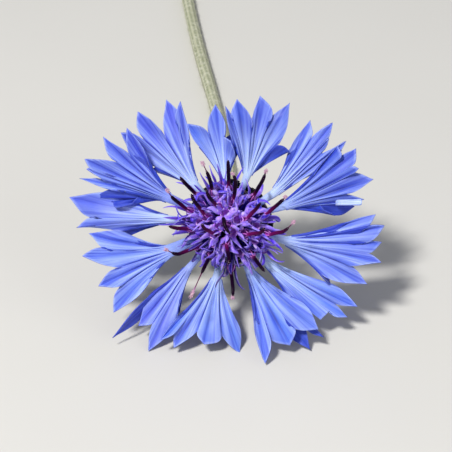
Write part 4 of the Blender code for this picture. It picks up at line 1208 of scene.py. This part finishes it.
def wool(surface, path, radii, count, rng):
    """The stem's wool: fibres rooted anywhere on it but on the receptacle and underneath. Each
    is a three-sided rod of five rings that leaves the stem upright and bends over more and
    more, so that at share q of the way it has turned by q times its curl."""
    at = rng.uniform(6, len(path) - 1.01, count)
    low = at.astype(int)
    spot = path[low] + (path[low + 1] - path[low]) * (at - low)[:, None]
    tangents = unit(np.gradient(path, axis=0))[low]
    normals = unit(np.cross(tangents, rng.normal(size=(count, 3))))
    normals[:, 2] = np.where(normals[:, 2] < -0.75, -normals[:, 2], normals[:, 2])
    normals = unit(normals - tangents * (normals * tangents).sum(axis=1, keepdims=True))
    roots = (spot + normals * (radii[low] - 0.05)[:, None])[:, None]
    reach = rng.uniform(*WOOL_LENGTHS, count)[:, None, None]

    normals = normals[:, None]
    q = np.linspace(0, 1, 5)[:, None]
    lean = unit(np.cross(normals, rng.normal(size=(count, 3))[:, None]))
    curl = rng.uniform(0.5, 2.2, count)[:, None, None]
    line = roots + reach * (normals * np.sin(q * curl) + lean * (1 - np.cos(q * curl))) / curl
    turn = np.arange(3)[:, None] * 2 * pi / 3
    ring = np.cos(turn) * lean + np.sin(turn) * np.cross(normals, lean)
    thick = WOOL_RADIUS * (1 - 0.75 * q[..., None])
    numbers = surface.add(line[:, :, None] + thick * ring[:, None], rib=1.0, cut=0.0)
    surface.quads.append(grid_quads(numbers, True))
    surface.triangles += [numbers[:, 0, ::-1], numbers[:, -1]]


class CornflowerStem(bpy.types.PropertyGroup):
    """What the stem is like."""

    fibres: bpy.props.IntProperty(
        name="Fibres", description="Number of wool fibres on the stem", default=2600, min=0)
    rind: colour("Ribs", "Colour of the stem's ribs", "BEC0A4")
    # Painted shade: the darker colour laid in the grooves between the ribs.
    groove_shade: colour("Grooves", "Colour between the ribs", "8E9478")
    wool: colour("Wool", "Colour of the woolly bloom", "E0DFD0")
    pith: colour("Pith", "Colour of the cut pith", "DDE2B4")


class CORNFLOWER_OT_stem(bpy.types.Operator):
    """Build the receptacle, the stem and its wool"""

    bl_idname = "cornflower.stem"
    bl_label = "Stem"

    def execute(self, context):
        settings = context.scene.cornflower_stem
        surface = Surface()
        path, radii = stem_route()
        stem(surface, path, radii)
        wool(surface, path, radii, settings.fibres, np.random.default_rng(400))
        piece = surface.build("stem_with_wool", stem_skin(settings),
                              place=lambda points: above_table(points) * MM)
        finish_piece(piece, "stem_grey_green", "stem_and_receptacle")
        return {"FINISHED"}


# ---------------------------------------------------------------- stage


IMAGE_SIDE = 452
VIEW_SHIFT = -3 / IMAGE_SIDE  # the head stands a little off the middle of the view


class CornflowerStage(bpy.types.PropertyGroup):
    """The table, the lights and the camera."""

    table: colour("Table", "Colour of the table", "D6D5D1")
    distance: length("Camera distance", "From the camera to the head's centre", 260)
    field: length("Field of view", "Width that the camera sees at the head's centre", 58.8)
    elevation: bpy.props.FloatProperty(
        name="Camera elevation", description="How far above the table the camera looks from",
        default=radians(34), subtype="ANGLE", unit="ROTATION")


def look_along(thing, direction):
    """Turns a camera or a light, upright, so that it looks along a direction."""
    back = -unit(np.array(direction, float))
    right = unit(np.cross(UP, back))
    matrix = np.eye(4)
    matrix[:3, :3] = np.stack([right, np.cross(back, right), back], axis=1)
    matrix[:3, 3] = thing.location
    thing.matrix_world = matrix.T


def soft_light(name, away, size, power, tint, target):
    """An area light at a place measured from the target, which it looks at."""
    data = bpy.data.lights.new(name, "AREA")
    data.shape = "DISK"
    data.size = size
    data.energy = power
    data.color = tint
    lamp = bpy.data.objects.new(name, data)
    lamp.location = target + np.array(away)
    bpy.context.scene.collection.objects.link(lamp)
    look_along(lamp, -np.array(away))


class CORNFLOWER_OT_stage(bpy.types.Operator):
    """Build the table, the lights and the camera"""

    bl_idname = "cornflower.stage"
    bl_label = "Stage"

    def execute(self, context):
        settings = context.scene.cornflower_stage
        scene = context.scene
        half_side, across = 3.0, 9
        line = np.linspace(-half_side, half_side, across)
        grid = np.stack([*np.meshgrid(line, line), np.zeros((across, across))], axis=-1)
        surface = Surface()
        surface.quads.append(grid_quads(surface.add(grid), False))
        surface.build("table_top", table_skin(settings), place=lambda points: points)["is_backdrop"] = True

        head = HEAD_CENTRE * MM
        soft_light("key_light", (-0.24, -0.34, 0.6), 0.12, 5.8, (1.0, 0.98, 0.94), head)
        soft_light("fill_light", (0.6, -0.5, 0.35), 0.7, 1.2, (0.94, 0.96, 1.0), head)
        world = bpy.data.worlds.new("soft_surround")
        scene.world = world
        world.use_nodes = True
        fill(world.node_tree, world.node_tree.nodes["Background"],
             {"Color": linear("F2F5FF"), "Strength": 0.3})

        data = bpy.data.cameras.new("camera")
        data.lens = data.sensor_width * settings.distance / settings.field
        data.clip_start = 0.005
        data.shift_x = data.shift_y = VIEW_SHIFT
        camera = bpy.data.objects.new("camera", data)
        scene.collection.objects.link(camera)
        away = np.array([0, -cos(settings.elevation), sin(settings.elevation)])
        camera.location = head + away * settings.distance
        look_along(camera, -away)
        scene.camera = camera
        scene.view_settings.view_transform = "Standard"
        return {"FINISHED"}


# ---------------------------------------------------------------- add-on


class CORNFLOWER_PT_panel(bpy.types.Panel):
    """The flower's pieces, in the order in which they are built"""

    bl_idname = "CORNFLOWER_PT_panel"
    bl_label = "Cornflower"
    bl_space_type = "VIEW_3D"
    bl_region_type = "UI"
    bl_category = "Cornflower"

    def draw(self, context):
        for step in STEPS:
            self.layout.operator(step.bl_idname)


STEPS = (CORNFLOWER_OT_rays, CORNFLOWER_OT_disc_corollas, CORNFLOWER_OT_anther_columns,
         CORNFLOWER_OT_bracts, CORNFLOWER_OT_stem, CORNFLOWER_OT_stage)
SETTINGS = {
    "cornflower_rays": CornflowerRays,
    "cornflower_disc": CornflowerDisc,
    "cornflower_bracts": CornflowerBracts,
    "cornflower_stem": CornflowerStem,
    "cornflower_stage": CornflowerStage,
}


def register():
    for kind in (*SETTINGS.values(), *STEPS, CORNFLOWER_PT_panel):
        bpy.utils.register_class(kind)
    for name, kind in SETTINGS.items():
        setattr(bpy.types.Scene, name, bpy.props.PointerProperty(type=kind))


def unregister():
    for name in SETTINGS:
        delattr(bpy.types.Scene, name)
    for kind in reversed((*SETTINGS.values(), *STEPS, CORNFLOWER_PT_panel)):
        bpy.utils.unregister_class(kind)


def main():
    register()
    bpy.ops.cornflower.rays()
    bpy.ops.cornflower.disc_corollas()
    bpy.ops.cornflower.anther_columns()
    bpy.ops.cornflower.bracts()
    bpy.ops.cornflower.stem()
    bpy.ops.cornflower.stage()
    sizes = {"cad": CAD_BOX, "visual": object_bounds()}
    ({name: [list(map(float, corner)) for corner in box]
               for name, box in sizes.items()})


if __name__ == "__main__":
    main()
